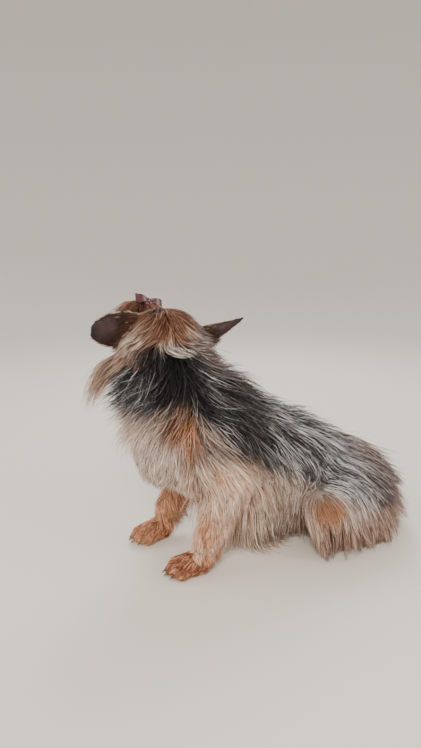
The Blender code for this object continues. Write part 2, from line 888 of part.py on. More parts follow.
def fan_roots(centre, count, start, end, rise, draw):
    """Places round an upright axis. The angles run from the front, in degrees."""
    roots = []
    for index in range(count):
        share = (index + 0.5) / count
        angle = math.radians(start + (end - start) * share + draw.uniform(-4, 4))
        direction = Vector((math.sin(angle), -math.cos(angle), rise)).normalized()
        roots.append((centre, direction))
    return roots


def head_roots(centre, directions):
    """Places on the head, as rays from a centre in its own frame, on both sides."""
    frame = head_frame()
    turn = frame.to_3x3()
    roots = []
    for _, sign in SIDES:
        for direction in directions:
            if sign > 0 or direction[0]:
                ray = Vector((direction[0] * sign, direction[1], direction[2])).normalized()
                roots.append((frame @ centre, turn @ ray))
    return roots


def limb_roots(start, end, places):
    """Places along a limb: rays from its middle at shares of its length."""
    return [(start.lerp(end, share), Vector(ray)) for share, ray in places]


def band_lie(point, outward):
    """The crown hair is drawn up to the band."""
    return head_frame() @ BAND_PLACE - point


def lay_limb_coat(coat):
    """Feathering on the tail, thighs and forelegs."""
    places = [(share, (side, 0.2, -0.1)) for share in (0.1, 0.7) for side in (1, -1)]
    roots = limb_roots(TAIL_BEND, TAIL_TIP, places)
    lay_locks(coat, ("tail",), roots, tail_lie, (0.038, 0.018, 3 * MM))
    for _, sign in SIDES:
        places = (
            (0.95, (sign, -0.3, 0)),
            (0.65, (sign, 0.2, -0.1)),
            (0.35, (sign, 0.8, -0.1)),
            (0.95, (sign, -0.6, 0.6)),
            (0.65, (sign, -0.1, 0.5)),
            (0.30, (sign, 0.4, 0.3)),
        )
        roots = limb_roots(mirrored(HIP, sign), mirrored(KNEE, sign), places)
        lay_locks(coat, ("hindleg",), roots, thigh_lie, (0.044, 0.026, 3 * MM))
        places = (
            (0.65, (0, 1, 0)),
            (0.40, (0.4 * sign, 1, 0)),
            (0.10, (sign, 0.6, 0)),
            (0.20, (-sign, 1, 0)),
            (0.00, (sign, 0.1, 0.2)),
        )
        roots = limb_roots(mirrored(ELBOW, sign), forefoot_joint(WRIST, sign), places)
        lay_locks(coat, ("foreleg",), roots, foreleg_lie, (0.048, 0.020, 2.5 * MM))


def lay_body_coat(coat):
    """The parted coat of the body, with the chest and shoulders, and then the ruff."""
    draw = coat["draw"]
    chest = FRONT_CHEST + Vector((0, -0.010, -0.005))
    shoulders = [
        (mirrored(SHOULDER, sign) + Vector((0, along, rise)), Vector((sign, 8 * along, 0.15)))
        for rise in (-0.015, 0.020)
        for _, sign in SIDES
        for along in (-0.028, -0.002, 0.024)
    ]
    tiers = (
        (fan_roots(SEAT, 5, 120, 240, 0.1, draw), 0.040, 0.026),
        (flank_roots(-0.040, 0.070, 3, 122, draw), 0.100, 0.026),
        (flank_roots(-0.045, 0.080, 5, 96, draw), 0.125, 0.028),
        (fan_roots(chest, 4, -60, 60, -0.15, draw), 0.048, 0.028),
        (flank_roots(-0.040, 0.160, 7, 74, draw), 0.088, 0.031),
        (shoulders, 0.060, 0.024),
        (fan_roots(chest, 5, -60, 60, 0.25, draw), 0.052, 0.028),
        (fan_roots(SEAT, 5, 110, 250, 0.8, draw), 0.050, 0.028),
        (flank_roots(-0.055, 0.165, 7, 46, draw), 0.080, 0.031),
        (flank_roots(-0.045, 0.160, 6, 17, draw), 0.070, 0.028),
    )
    for roots, length, width in tiers:
        lay_locks(coat, BODY_HOSTS, roots, torso_lie, (length, width, 4 * MM))
    for share, count in ((0.28, 9), (0.56, 8), (0.82, 7)):
        roots = fan_roots(NECK_ROOT.lerp(NECK_TOP, share), count, 0, 360, 0.1, draw)
        lay_locks(coat, BODY_HOSTS, roots, neck_lie, (0.070, 0.030, 4 * MM))


def lay_head_coat(coat):
    """Beard, moustache, cheeks and nape, then the crown and the tuft above the band."""
    muzzle = Vector((0, -0.034, -0.012))
    face = Vector((0, -0.020, -0.004))
    cheek = Vector((0, -0.004, -0.008))
    nape = Vector((0, 0.010, 0))
    tiers = (
        (muzzle, ((0, -0.4, -1), (0.6, 0, -1)), (0.15, -0.2, -1), 0.045, 0.018),
        (muzzle, ((1, -0.1, -0.2), (0.8, -0.8, -0.1)), (0.8, 0, -0.8), 0.045, 0.015),
        (cheek, ((1, -0.6, -0.7), (1, 0.1, -0.7)), (0.7, 0, -1), 0.060, 0.022),
        (nape, ((0, 1, -0.1), (0.7, 1, -0.1)), (0.2, 0.5, -1), 0.045, 0.024),
        (face, ((1, -0.7, 0.1), (1, -0.2, -0.1)), (0.7, 0.3, -1), 0.034, 0.015),
        (cheek, ((1, 0.4, -0.2), (1, -0.1, -0.2)), (1, 0, -0.9), 0.060, 0.022),
        (nape, ((0.3, 1, 0.6), (0.8, 0.9, 0.5)), (0.3, 0.6, -0.6), 0.045, 0.022),
    )
    for centre, directions, fall, length, width in tiers:
        roots = head_roots(centre, directions)
        sizes = (length, width, 3 * MM)
        lay_locks(coat, ("head", "neck"), roots, head_lie(Vector(fall)), sizes)
    skull = Vector((0, -0.004, 0))
    crown = head_roots(skull, ((0.35, -1, 0.75), (0.9, -0.4, 0.9), (0.7, 0.5, 0.9)))
    lay_locks(coat, ("head",), crown, band_lie, (0.022, 0.015, 1 * MM))
    roots = head_roots(TUFT_PLACE, ((0.9, -0.5, 0.3), (0.5, -0.8, 0.6), (0, -1, 0.8)))
    fall = head_lie(Vector((0.35, -0.6, -1)))
    lay_locks(coat, ("topknot",), roots, fall, (0.030, 0.011, 1.5 * MM))


def build_parts():
    """Every node, cut clear of what it grows from, with its locks."""
    forms = build_forms()
    head_form, parts = build_head_parts()
    parts = [clear_of_neck(part, forms["neck"]) for part in parts]
    torso = forms["torso"]
    feet = [forms["hindpaw_" + side] for side, _ in SIDES]
    parts.append(node_from(torso, *feet))
    parts.append(node_from(forms["neck"], torso, head_form))
    parts.append(node_from(forms["tail"], torso))
    for side, _ in SIDES:
        for limb_name, end_name in (("foreleg_", "forepaw_"), ("hindleg_", "hindpaw_")):
            end = forms[end_name + side]
            parts.append(node_from(forms[limb_name + side], torso, end))
            parts.append(node_from(end))
    parts = [floor_cut(part) for part in parts]
    cores = {part.name: mesh_of(part) for part in parts}
    coat = {
        "cores": cores,
        "trees": {name: tree_of([mesh]) for name, mesh in cores.items()},
        "skin": tree_of(list(cores.values())),
        "locks": {name: [] for name in cores},
        "lock_trees": [],
        "draw": random.Random(SEED),
    }
    lay_limb_coat(coat)
    lay_body_coat(coat)
    lay_head_coat(coat)
    return [
        fused(part.name, part, [lock_object(*lock) for lock in coat["locks"][part.name]])
        for part in parts
    ]


def colour_of(name):
    """The material of a node, by the finish that it shows."""
    finishes = {
        "torso": ("steel_coat", (0.10, 0.11, 0.12), 0.55),
        "neck": ("dark_coat", (0.04, 0.04, 0.045), 0.55),
        "tail": ("steel_coat", (0.10, 0.11, 0.12), 0.55),
        "ear": ("ear_skin", (0.12, 0.07, 0.07), 0.6),
        "eye": ("dark_eye", (0.02, 0.012, 0.008), 0.08),
        "nose": ("nose_leather", (0.02, 0.018, 0.018), 0.4),
        "bow": ("rose_satin", (0.30, 0.08, 0.11), 0.25),
        "topknot_band": ("band_rubber", (0.25, 0.06, 0.08), 0.5),
    }
    plain = ("tan_coat", (0.48, 0.25, 0.12), 0.6)
    key = name if name in finishes else name.split("_")[0]
    return finishes.get(key, plain)


def finish_parts(parts):
    """Gives each node its material and smooth shading, and centres the dog over the origin."""
    made = {}
    for part in parts:
        name, colour, roughness = colour_of(part.name)
        if name not in made:
            made[name] = material(name, colour, roughness)
        part.data.materials.clear()
        part.data.materials.append(made[name])
        part.data.transform(Matrix.Translation(ORIGIN_SHIFT))
        part.data.shade_smooth()
        part.data.set_sharp_from_angle(angle=math.radians(50))


def main():
    clear_scene()
    dog = collection("yorkshire_terrier")
    parts = build_parts()
    for part in parts:
        for user in list(part.users_collection):
            user.objects.unlink(part)
        dog.objects.link(part)
    finish_parts(parts)
    for obj in list(bpy.data.objects):
        if obj.name not in dog.objects:
            bpy.data.objects.remove(obj, do_unlink=True)


main()
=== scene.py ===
"""The looks of a sitting yorkshire terrier: skin, coat, face, ears, feet, ribbon bow and studio.

Metres, +Z up. Places are in the dog's own frame, where it faces -Y with its left side at +X,
and every finished piece is moved by ORIGIN_SHIFT, which centres the dog over the origin.
"""

import math

import bmesh
import bpy
import numpy as np
from mathutils import Matrix, Vector, kdtree
from mathutils.bvhtree import BVHTree


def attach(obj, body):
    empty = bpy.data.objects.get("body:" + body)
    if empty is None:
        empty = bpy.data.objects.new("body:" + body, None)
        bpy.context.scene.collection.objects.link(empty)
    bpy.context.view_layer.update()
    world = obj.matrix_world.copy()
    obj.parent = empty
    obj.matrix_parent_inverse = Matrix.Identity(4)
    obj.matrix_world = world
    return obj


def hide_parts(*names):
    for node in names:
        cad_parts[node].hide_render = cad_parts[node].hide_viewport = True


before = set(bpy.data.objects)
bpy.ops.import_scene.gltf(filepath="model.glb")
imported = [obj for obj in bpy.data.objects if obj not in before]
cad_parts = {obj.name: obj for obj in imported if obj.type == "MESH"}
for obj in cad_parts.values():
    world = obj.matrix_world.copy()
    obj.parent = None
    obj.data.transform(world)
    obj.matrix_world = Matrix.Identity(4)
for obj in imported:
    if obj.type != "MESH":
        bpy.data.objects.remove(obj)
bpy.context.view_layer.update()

MM = 0.001
ORIGIN_SHIFT = Vector((-0.0006, -0.0167, 0))
SIDES = (("left", 1), ("right", -1))

# Joints of the near side. The far side mirrors them.
WITHERS = Vector((0, -0.045, 0.174))
PROSTERNUM = Vector((0, -0.108, 0.138))
FRONT_CHEST = Vector((0, -0.074, 0.132))
RIBS = Vector((0, -0.015, 0.123))
LAST_RIB = Vector((0, 0.035, 0.106))
LOIN = Vector((0, 0.080, 0.089))
CROUP = Vector((0, 0.120, 0.069))
SEAT = Vector((0, 0.150, 0.040))
SHOULDER = Vector((0.034, -0.078, 0.135))
ELBOW = Vector((0.046, -0.056, 0.100))
WRIST = Vector((0.044, -0.080, 0.032))
FORE_ANKLE = Vector((0.044, -0.084, 0.012))
HIP = Vector((0.032, 0.112, 0.062))
KNEE = Vector((0.066, 0.062, 0.058))
HOCK = Vector((0.057, 0.142, 0.018))
HIND_TOES = Vector((0.059, 0.098, 0.011))
TAIL_ROOT = Vector((0, 0.172, 0.052))
TAIL_BEND = Vector((-0.014, 0.196, 0.034))
TAIL_TIP = Vector((-0.040, 0.206, 0.020))
NECK_ROOT = Vector((0, -0.068, 0.160))
NECK_MIDDLE = Vector((-0.008, -0.092, 0.195))
NECK_TOP = Vector((-0.018, -0.103, 0.232))
RIGHT_STEP = Vector((-0.005, -0.013, 0))

# The head, in its own frame: it faces -Y there too.
HEAD_CENTRE = Vector((-0.033, -0.103, 0.254))
HEAD_TURN = math.radians(-86)
HEAD_DROP = math.radians(6)
SKULL_WIDTH = 0.062
SKULL_LENGTH = 0.070
SKULL_HEIGHT = 0.054
MUZZLE_REACH = 0.046
EYE_RADIUS = 0.0078
EYE_PLACE = Vector((0.0170, -0.0270, 0.0040))
NOSE_PLACE = Vector((0, -0.0545, -0.0040))
MOUTH_DROP = -0.0175
EAR_SUNK = 0.008
EAR_SHAPES = {
    "left": {
        "root": Vector((0.0285, 0.0100, 0.0070)),
        "opening": Vector((0.30, -0.90, 0.30)),
        "lean": Vector((0.88, -0.05, 0.10)),
        "length": 0.061,
        "width": 0.046,
        "narrowing": 4.0,
        "bluntness": 0.5,
        "cup": 0.45,
        "sweep": 0.08,
        "rise": 0.0,
    },
    "right": {
        "root": Vector((0.0280, 0.0120, -0.0110)),
        "opening": Vector((0.35, -0.90, 0.25)),
        "lean": Vector((-0.86, 0.30, 0.20)),
        "length": 0.076,
        "width": 0.031,
        "narrowing": 1.8,
        "bluntness": 1.0,
        "cup": 0.62,
        "sweep": 0.06,
        "rise": 0.18,
    },
}
BAND_PLACE = Vector((0.0060, -0.0180, 0.0355))
BAND_RADIUS = 0.0060
BOW_PLACE = BAND_PLACE + Vector((0, 0.0095, 0.0035))
BOW_REACH = 0.0155
BOW_WIDTH = 0.0100
BOW_DEPTH = 0.0062

# The camera stands where the photographer's did, at the dog's left.
LENS_MM = 28.25
CAMERA_PLACE = Vector((0.58283509, -0.31397961, 0.36))
CAMERA_YAW = math.radians(24)
CAMERA_PITCH = math.radians(13)

SKIN_VOXEL = 1.3 * MM
FIELD_CELL = 4.5 * MM
FIELD_MARGIN = 0.036
FIELD_REACH = 0.050
COARSE_VOXEL = 3 * MM
SEED = 11

# Coat colours, as the eye names them.
INK = "#0d0d11"
CHARCOAL = "#232429"
IRON = "#3d3e44"
SLATE = "#6d6a6c"
SILVER = "#cfd0d4"
WHITE = "#efe8e1"
CREAM = "#ecd8c6"
BLUSH = "#cbb0a2"
SAND = "#a67c62"
BEIGE = "#bd9f8e"
FLAX = "#a58f86"
OAT = "#e3d6cd"
DUN = "#705850"
FAWN = "#8e7567"
ASH = "#b0a29d"
MAUVE = "#5a4c4c"
PEACH = "#e0ab8b"
TAN = "#b27b56"
ORANGE = "#b87c50"
RUSSET = "#8c5138"
BROWN = "#5e3d2e"
UMBER = "#3a2a22"

GROUPS = ("torso", "neck", "head", "tail", "foreleg", "hindleg", "paw")


def linear(colour):
    """A hex sRGB colour as linear red, green, blue and alpha."""
    parts = [int(colour[start : start + 2], 16) / 255 for start in (1, 3, 5)]
    return (*(((part + 0.055) / 1.055) ** 2.4 if part > 0.04045 else part / 12.92 for part in parts), 1.0)


def mirrored(point, sign):
    return Vector((point.x * sign, point.y, point.z))


def add_node(tree, kind, inputs=None, **settings):
    """Adds a node with its settings. An input takes a number, a colour or another node's socket."""
    made = tree.nodes.new(kind)
    for name, value in settings.items():
        setattr(made, name, value)
    for key, value in (inputs or {}).items():
        if isinstance(value, bpy.types.NodeSocket):
            tree.links.new(value, made.inputs[key])
        else:
            made.inputs[key].default_value = value
    return made


def new_material(name, **shader_inputs):
    """A material with its node tree and its Principled shader."""
    made = bpy.data.materials.new(name)
    made.use_nodes = True
    shader = made.node_tree.nodes["Principled BSDF"]
    for key, value in shader_inputs.items():
        shader.inputs[key.replace("_", " ")].default_value = value
    return made, made.node_tree, shader


def deselect():
    bpy.ops.object.select_all(action="DESELECT")


def apply_modifier(obj, kind, **settings):
    """Adds a modifier with its settings and applies it."""
    deselect()
    obj.select_set(True)
    bpy.context.view_layer.objects.active = obj
    modifier = obj.modifiers.new(kind.lower(), kind)
    for key, value in settings.items():
        setattr(modifier, key, value)
    bpy.ops.object.modifier_apply(modifier=modifier.name)


def join(objects, name):
    deselect()
    for obj in objects:
        obj.select_set(True)
    bpy.context.view_layer.objects.active = objects[0]
    bpy.ops.object.join()
    made = bpy.context.view_layer.objects.active
    made.name = name
    return made


def settle(obj):
    """Puts an object's place into its mesh."""
    obj.data.transform(obj.matrix_world)
    obj.matrix_world = Matrix.Identity(4)
    return obj


def finish_piece(obj, material, slot, *nodes):
    """Gives a piece its material, its smooth faces and its body, and hides the model's nodes that it stands
    for. Its slot is not used.
    """
    obj.data.materials.clear()
    obj.data.materials.append(material)
    obj.data.transform(Matrix.Translation(ORIGIN_SHIFT))
    obj.data.shade_smooth()
    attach(obj, "root")
    if nodes:
        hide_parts(*nodes)
    return obj


def head_frame():
    """The matrix from the head's own frame to the dog's."""
    turn = Matrix.Rotation(HEAD_TURN, 4, "Z")
    drop = Matrix.Rotation(HEAD_DROP, 4, "X")
    return Matrix.Translation(HEAD_CENTRE) @ turn @ drop


def ball(centre, radii, turn=None):
    """One rounded mass: its centre, its three half sizes and its turn."""
    return centre, Vector(radii), turn or Matrix.Identity(4)


def limb(start, start_radius, end, end_radius, count=5):
    """A tapered run of round masses between two joints."""
    run = []
    for step in range(count):
        share = step / (count - 1)
        radius = start_radius + (end_radius - start_radius) * share
        run.append(ball(start.lerp(end, share), (radius, radius, radius)))
    return run


def torso_masses():
    masses = [
        ball(WITHERS, (0.022, 0.040, 0.028)),
        ball(PROSTERNUM, (0.034, 0.030, 0.036)),
        ball(FRONT_CHEST, (0.044, 0.042, 0.054)),
        ball(RIBS, (0.048, 0.055, 0.053)),
        ball(LAST_RIB, (0.046, 0.045, 0.048)),
        ball(LOIN, (0.042, 0.042, 0.043)),
        ball(CROUP, (0.044, 0.038, 0.045)),
        ball(SEAT, (0.042, 0.030, 0.036)),
    ]
    for _, sign in SIDES:
        masses.append(ball(mirrored(SHOULDER, sign), (0.022, 0.032, 0.042)))
    return masses


def neck_masses():
    return limb(NECK_ROOT, 0.040, NECK_MIDDLE, 0.034) + limb(NECK_MIDDLE, 0.034, NECK_TOP, 0.029)


def forefoot_joint(joint, sign):
    """A joint of the lower foreleg, with the right one a little further forward."""
    return mirrored(joint, sign) + (RIGHT_STEP if sign < 0 else Vector((0, 0, 0)))


def foreleg_masses(sign):
    shoulder, elbow = (mirrored(joint, sign) for joint in (SHOULDER, ELBOW))
    wrist, ankle = (forefoot_joint(joint, sign) for joint in (WRIST, FORE_ANKLE))
    return (
        limb(shoulder, 0.026, elbow, 0.018)
        + limb(elbow, 0.016, wrist, 0.0105, 7)
        + limb(wrist, 0.0105, ankle, 0.0090, 3)
    )


def toe_places(scale=1.0):
    """The four toes of a paw, seen from its ankle."""
    spread = 0.0082 * scale
    for place in (-1.5, -0.5, 0.5, 1.5):
        reach = 0.031 if abs(place) < 1 else 0.026
        yield Vector((place * spread, -reach * scale, -0.0035 * scale))


def paw_masses(ankle, turn, scale=1.0):
    frame_of_paw = Matrix.Translation(ankle) @ Matrix.Rotation(turn, 4, "Z")
    facing = Matrix.Rotation(turn, 4, "Z")
    masses = [
        ball(frame_of_paw @ Vector((0, -0.002, 0)), [0.0125 * scale] * 3),
        ball(
            frame_of_paw @ Vector((0, -0.014 * scale, -0.001)),
            (0.015 * scale, 0.016 * scale, 0.011 * scale),
            facing,
        ),
    ]
    for toe in toe_places(scale):
        size = (0.0056 * scale, 0.0090 * scale, 0.0066 * scale)
        masses.append(ball(frame_of_paw @ toe, size, facing))
    return masses


def hindleg_masses(sign):
    hip, knee, hock = (mirrored(joint, sign) for joint in (HIP, KNEE, HOCK))
    return limb(hip, 0.038, knee, 0.024, 6) + limb(knee, 0.022, hock, 0.012, 7)


def hindpaw_masses(sign):
    hock, toes = (mirrored(joint, sign) for joint in (HOCK, HIND_TOES))
    return limb(hock, 0.0115, toes, 0.0115, 5) + paw_masses(toes, -0.1 * sign, 0.92)


def tail_masses():
    return limb(TAIL_ROOT, 0.014, TAIL_BEND, 0.010) + limb(TAIL_BEND, 0.010, TAIL_TIP, 0.006)


def head_masses():
    """The skull, brows, cheeks, muzzle, lips and jaw, set in place on the neck."""
    half_width = SKULL_WIDTH / 2
    masses = [
        ball(Vector((0, 0.006, 0.002)), (half_width, SKULL_LENGTH / 2, SKULL_HEIGHT / 2)),
        ball(Vector((0, -0.014, 0.006)), (0.023, 0.022, 0.020)),
    ]
    bridge = Vector((0, -0.026, -0.003))
    muzzle_end = Vector((0, -MUZZLE_REACH, -0.0090))
    masses += limb(bridge, 0.0175, muzzle_end, 0.0112, 6)
    masses += limb(Vector((0, -0.018, -0.020)), 0.0130, Vector((0, -0.041, -0.0215)), 0.0086, 5)
    for _, sign in SIDES:
        cheek = Vector((0.017 * sign, -0.006, -0.010))
        masses.append(ball(cheek, (0.015, 0.020, 0.015)))
        brow = Vector((0.0125 * sign, -0.0240, 0.0125))
        masses.append(ball(brow, (0.0085, 0.0080, 0.0065)))
        lip_back = Vector((0.0110 * sign, -0.028, -0.013))
        lip_front = Vector((0.0072 * sign, -MUZZLE_REACH + 0.002, -0.0115))
        masses += limb(lip_back, 0.0086, lip_front, 0.0076, 5)
        socket = mirrored(EYE_PLACE, sign)
        masses.append(ball(socket, [EYE_RADIUS + 0.5 * MM] * 3))
    place = head_frame()
    turn = place.to_3x3().to_4x4()
    return [ball(place @ centre, radii, turn @ own) for centre, radii, own in masses]


def all_masses():
    """Every rounded mass of the body, by the group of the coat that grows on it."""
    masses = {
        "torso": torso_masses(),
        "neck": neck_masses(),
        "head": head_masses(),
        "tail": tail_masses(),
        "foreleg": [],
        "hindleg": [],
        "paw": [],
    }
    for _, sign in SIDES:
        ankle = forefoot_joint(FORE_ANKLE, sign)
        masses["foreleg"] += foreleg_masses(sign)
        masses["hindleg"] += hindleg_masses(sign)
        masses["paw"] += paw_masses(ankle, -0.12 * sign) + hindpaw_masses(sign)
    return masses


def eye_direction(sign):
    return Vector((0.62 * sign, -0.76, 0.12)).normalized()


def looking(place, direction):
    """A frame at a place with its +Z along a direction."""
    return Matrix.Translation(place) @ direction.to_track_quat("Z", "Y").to_matrix().to_4x4()


def build_skin(masses):
    """One closed skin over the whole body, with the lids standing round the eyes."""
    deselect()
    bpy.ops.mesh.primitive_ico_sphere_add(subdivisions=4, radius=1)
    first = bpy.context.object
    pattern = first.data.copy()
    pieces = []
    for group in masses.values():
        for centre, radii, turn in group:
            lump = bpy.data.objects.new("lump", pattern.copy())
            bpy.context.scene.collection.objects.link(lump)
            lump.data.transform(Matrix.Translation(centre) @ turn @ Matrix.Diagonal((*radii, 1)))
            pieces.append(lump)
    bpy.data.objects.remove(first)
    for _, sign in SIDES:
        direction = eye_direction(sign)
        eye = mirrored(EYE_PLACE, sign)
        rim = looking(eye + direction * 0.0044, direction) @ Matrix.Diagonal((1.08, 0.88, 1, 1))
        bpy.ops.mesh.primitive_torus_add(
            major_radius=0.0070, minor_radius=1.5 * MM, major_segments=40, minor_segments=12
        )
        lids = settle(bpy.context.object)
        lids.data.transform(head_frame() @ rim)
        pieces.append(lids)
    skin = join(pieces, "skin")
    apply_modifier(skin, "REMESH", mode="VOXEL", voxel_size=SKIN_VOXEL)
    apply_modifier(skin, "SMOOTH", factor=0.5, iterations=5)
    hollow_sockets(skin)
    for vertex in skin.data.vertices:
        vertex.co.z = max(vertex.co.z, 0.6 * MM)
    return skin


def hollow_sockets(skin):
    """Presses the skin back behind each eyeball, so that the lids stand round an opening."""
    back = head_frame().inverted()
    place = head_frame()
    for _, sign in SIDES:
        direction = eye_direction(sign)
        eye = mirrored(EYE_PLACE, sign)
        turn = looking(eye, direction)
        unturn = turn.inverted()
        for vertex in skin.data.vertices:
            local = back @ vertex.co
            if (local - eye).length > 0.012:
                continue
            spot = unturn @ local
            reach = math.hypot(spot.x / 1.08, spot.y / 0.88)
            if reach < 0.0058 and spot.z > 0:
                spot.z = min(spot.z, 0.0046)
                vertex.co = place @ (turn @ spot)


def tree_of(obj):
    points = [vertex.co for vertex in obj.data.vertices]
    return BVHTree.FromPolygons(points, [list(face.vertices) for face in obj.data.polygons])


def unit(vectors):
    return vectors / np.maximum(np.linalg.norm(vectors, axis=1, keepdims=True), 1e-9)


def ease(low, high, values):
    """Rises smoothly from 0 to 1 as the values go from low to high."""
    share = np.clip((values - low) / (high - low), 0, 1)
    return share * share * (3 - 2 * share)


def measure_field(tree, low, high):
    """The signed distance to the skin and the way out of it, on a grid round the dog."""
    low = np.array(low) - FIELD_MARGIN
    counts = np.ceil((np.array(high) + FIELD_MARGIN - low) / FIELD_CELL).astype(int) + 1
    values = np.empty((*counts, 4), np.float32)
    for x in range(counts[0]):
        for y in range(counts[1]):
            for z in range(counts[2]):
                point = Vector(low + FIELD_CELL * np.array((x, y, z)))
                spot, normal, _, distance = tree.find_nearest(point, FIELD_REACH)
                if spot is None:
                    values[x, y, z] = (FIELD_REACH, 0, 0, 1)
                    continue
                away = point - spot
                if away.dot(normal) < 0:
                    distance = -distance
                    away = -away
                if away.length < 1e-5:
                    away = normal
                values[x, y, z] = (distance, *away.normalized())
    return {"low": low, "counts": counts, "values": values}


def look_up(field, points):
    """Distance and way out at many points, blended between the grid's corners."""
    place = np.clip((points - field["low"]) / FIELD_CELL, 0, field["counts"] - 1.001)
    base = place.astype(int)
    rest = place - base
    total = np.zeros((len(points), 4))
    for corner in range(8):
        step = np.array((corner & 1, corner >> 1 & 1, corner >> 2 & 1))
        weight = np.prod(np.where(step, rest, 1 - rest), axis=1)
        index = base + step
        total += weight[:, None] * field["values"][index[:, 0], index[:, 1], index[:, 2]]
    return total[:, 0], unit(total[:, 1:])


def group_of(points, masses):
    """The group of body masses that each point lies on."""
    best = np.full(len(points), np.inf)
    found = np.zeros(len(points), int)
    for number, name in enumerate(GROUPS):
        for centre, radii, turn in masses[name]:
            local = (points - np.array(centre)) @ np.array(turn.to_3x3())
            reach = np.linalg.norm(local / np.array(radii), axis=1)
            gap = (reach - 1) * min(radii)
            closer = gap < best
            best[closer] = gap[closer]
            found[closer] = number
    return found


def to_head(points):
    """Points of the dog's frame in the head's own frame."""
    back = np.array(head_frame().inverted())
    return points @ back[:3, :3].T + back[:3, 3]


def near(points, centre, radii):
    """How much each point belongs to a soft round patch, which both sides of the dog have."""
    folded = np.column_stack([np.abs(points[:, 0]), points[:, 1], points[:, 2]])
    reach = np.linalg.norm((folded - np.array(centre)) / np.array(radii), axis=1)
    return 1 - ease(0.6, 1.25, reach)


def markings(points, groups):
    """The coat's pattern at each point: a dark hair, a light hair, the share of light ones and
    how far the dark ones' tips fade to the light.

    The ruff and the near flank are nearly black under silver. The saddle goes from charcoal to
    grey to the rear. The skull is brown, the legs are peach, the chest, the shoulders and the
    hem are cream and beige, and the feet are stained russet.
    """
    x, y, z = points.T
    local = to_head(points)
    size = len(points)
    paint = {
        "dark": np.tile(linear(INK)[:3], (size, 1)),
        "light": np.tile(linear(IRON)[:3], (size, 1)),
        "share": np.full(size, 0.06),
        "fade": np.full(size, 0.04),
    }

    def lay(weight, dark, light, share, fade=0.1):
        weight = np.asarray(weight, float)
        for key, value in (("share", share), ("fade", fade)):
            paint[key] = paint[key] * (1 - weight) + value * weight
        for key, value in (("dark", dark), ("light", light)):
            colour = np.array(linear(value)[:3])
            paint[key] = paint[key] * (1 - weight[:, None]) + colour * weight[:, None]

    trunk = np.isin(groups, (0, 1, 5)) | ((groups == 4) & (z > 0.085))
    trunk = trunk * 1.0
    sides = np.maximum(ease(-0.084, -0.056, y), 1 - ease(-0.140, -0.126, y))
    lay(trunk * sides, INK, SILVER, 0.18)
    lay(trunk * ease(-0.064, -0.046, y), INK, SLATE, 0.24)
    lay(trunk * ease(-0.018, 0.016, y), CHARCOAL, SILVER, 0.44)
    lay(trunk * ease(0.03, 0.09, y), IRON, SILVER, 0.38, 0.15)
    ridge = (1 - ease(0.010, 0.026, np.abs(x))) * ease(-0.085, -0.060, y)
    lay(trunk * ridge * ease(0.180, 0.196, z), MAUVE, ASH, 0.4, 0.15)
    lay(trunk * near(points, (0.048, 0.036, 0.134), (0.026, 0.026, 0.014)), INK, SILVER, 0.16)
    lay(trunk * near(points, (0.060, 0.080, 0.104), (0.026, 0.016, 0.014)), CHARCOAL, SILVER, 0.25)
    lay(trunk * (1 - ease(0.006, 0.014, np.abs(x))) * ease(0.0, 0.04, y), UMBER, SLATE, 0.3)
    lay(trunk * ease(0.095, 0.160, y), MAUVE, ASH, 0.15, 0.08)
    edge = np.interp(
        y, (-0.14, -0.10, -0.08, -0.06, -0.036, 0.0, 0.03, 0.06, 0.10, 0.15),
        (0.176, 0.180, 0.168, 0.148, 0.116, 0.100, 0.090, 0.080, 0.058, 0.035),
    )
    depth = 0.014 + 0.022 * sides
    fringe = (1 - ease(-0.066, -0.046, y)) * (1 - ease(0.0, 1.0, (z - edge) / depth))
    lay(trunk * fringe, INK, SILVER, 0.22)
    under = trunk * (1 - ease(-0.008, 0.008, z - edge))
    lay(under, FLAX, OAT, 0.6, 0.3)
    lay(under * (1 - ease(0.00, 0.05, y)), BEIGE, CREAM, 0.62, 0.3)
    lay(under * (1 - ease(-0.05, -0.03, y)) * ease(0.120, 0.134, z), DUN, ASH, 0.46, 0.15)
    lay(under * (1 - ease(-0.114, -0.102, y)), BLUSH, OAT, 0.58, 0.4)
    lay(under * near(points, (0.045, -0.117, 0.168), (0.034, 0.014, 0.018)), BROWN, TAN, 0.4)
    lay(trunk * near(points, (0.070, -0.054, 0.112), (0.034, 0.038, 0.019)), PEACH, CREAM, 0.64, 0.5)
    lay(under * near(points, (0.054, -0.101, 0.160), (0.034, 0.0075, 0.028)), ORANGE, PEACH, 0.4, 0.3)
    lay(trunk * (1 - ease(0.070, 0.090, z)) * (1 - ease(-0.05, -0.02, y)), PEACH, CREAM, 0.5, 0.3)
    knee = near(points, (0.096, 0.050, 0.060), (0.034, 0.025, 0.018))
    lay(trunk * knee, SAND, TAN, 0.35, 0.1)
    lay(trunk * (1 - ease(0.036, 0.046, z)) * ease(0.03, 0.05, y), DUN, BEIGE, 0.56, 0.3)
    lay(trunk * (1 - ease(0.030, 0.060, z)) * ease(0.09, 0.12, y), FAWN, BLUSH, 0.28, 0.2)

    lay((groups == 3) * 1.0, UMBER, ASH, 0.4, 0.3)
    leg = (groups == 4) * (1 - ease(0.080, 0.105, z))
    lay(leg, PEACH, CREAM, 0.42, 0.3)
    lay(leg * (x < 0), TAN, PEACH, 0.85, 0.2)
    lay(leg * near(points, (0.054, -0.086, 0.052), (0.012, 0.007, 0.022)), TAN, PEACH, 0.4)
    lay(leg * (1 - ease(0.014, 0.032, z)), TAN, PEACH, 0.45)
    lay((groups == 6) * 1.0, RUSSET, PEACH, 0.30)
    lay((groups == 6) * ease(0.0, 0.02, y), BEIGE, CREAM, 0.6, 0.2)
    lay((groups == 6) * (1 - ease(-0.112, -0.100, y)) * (x < 0), TAN, PEACH, 0.4)

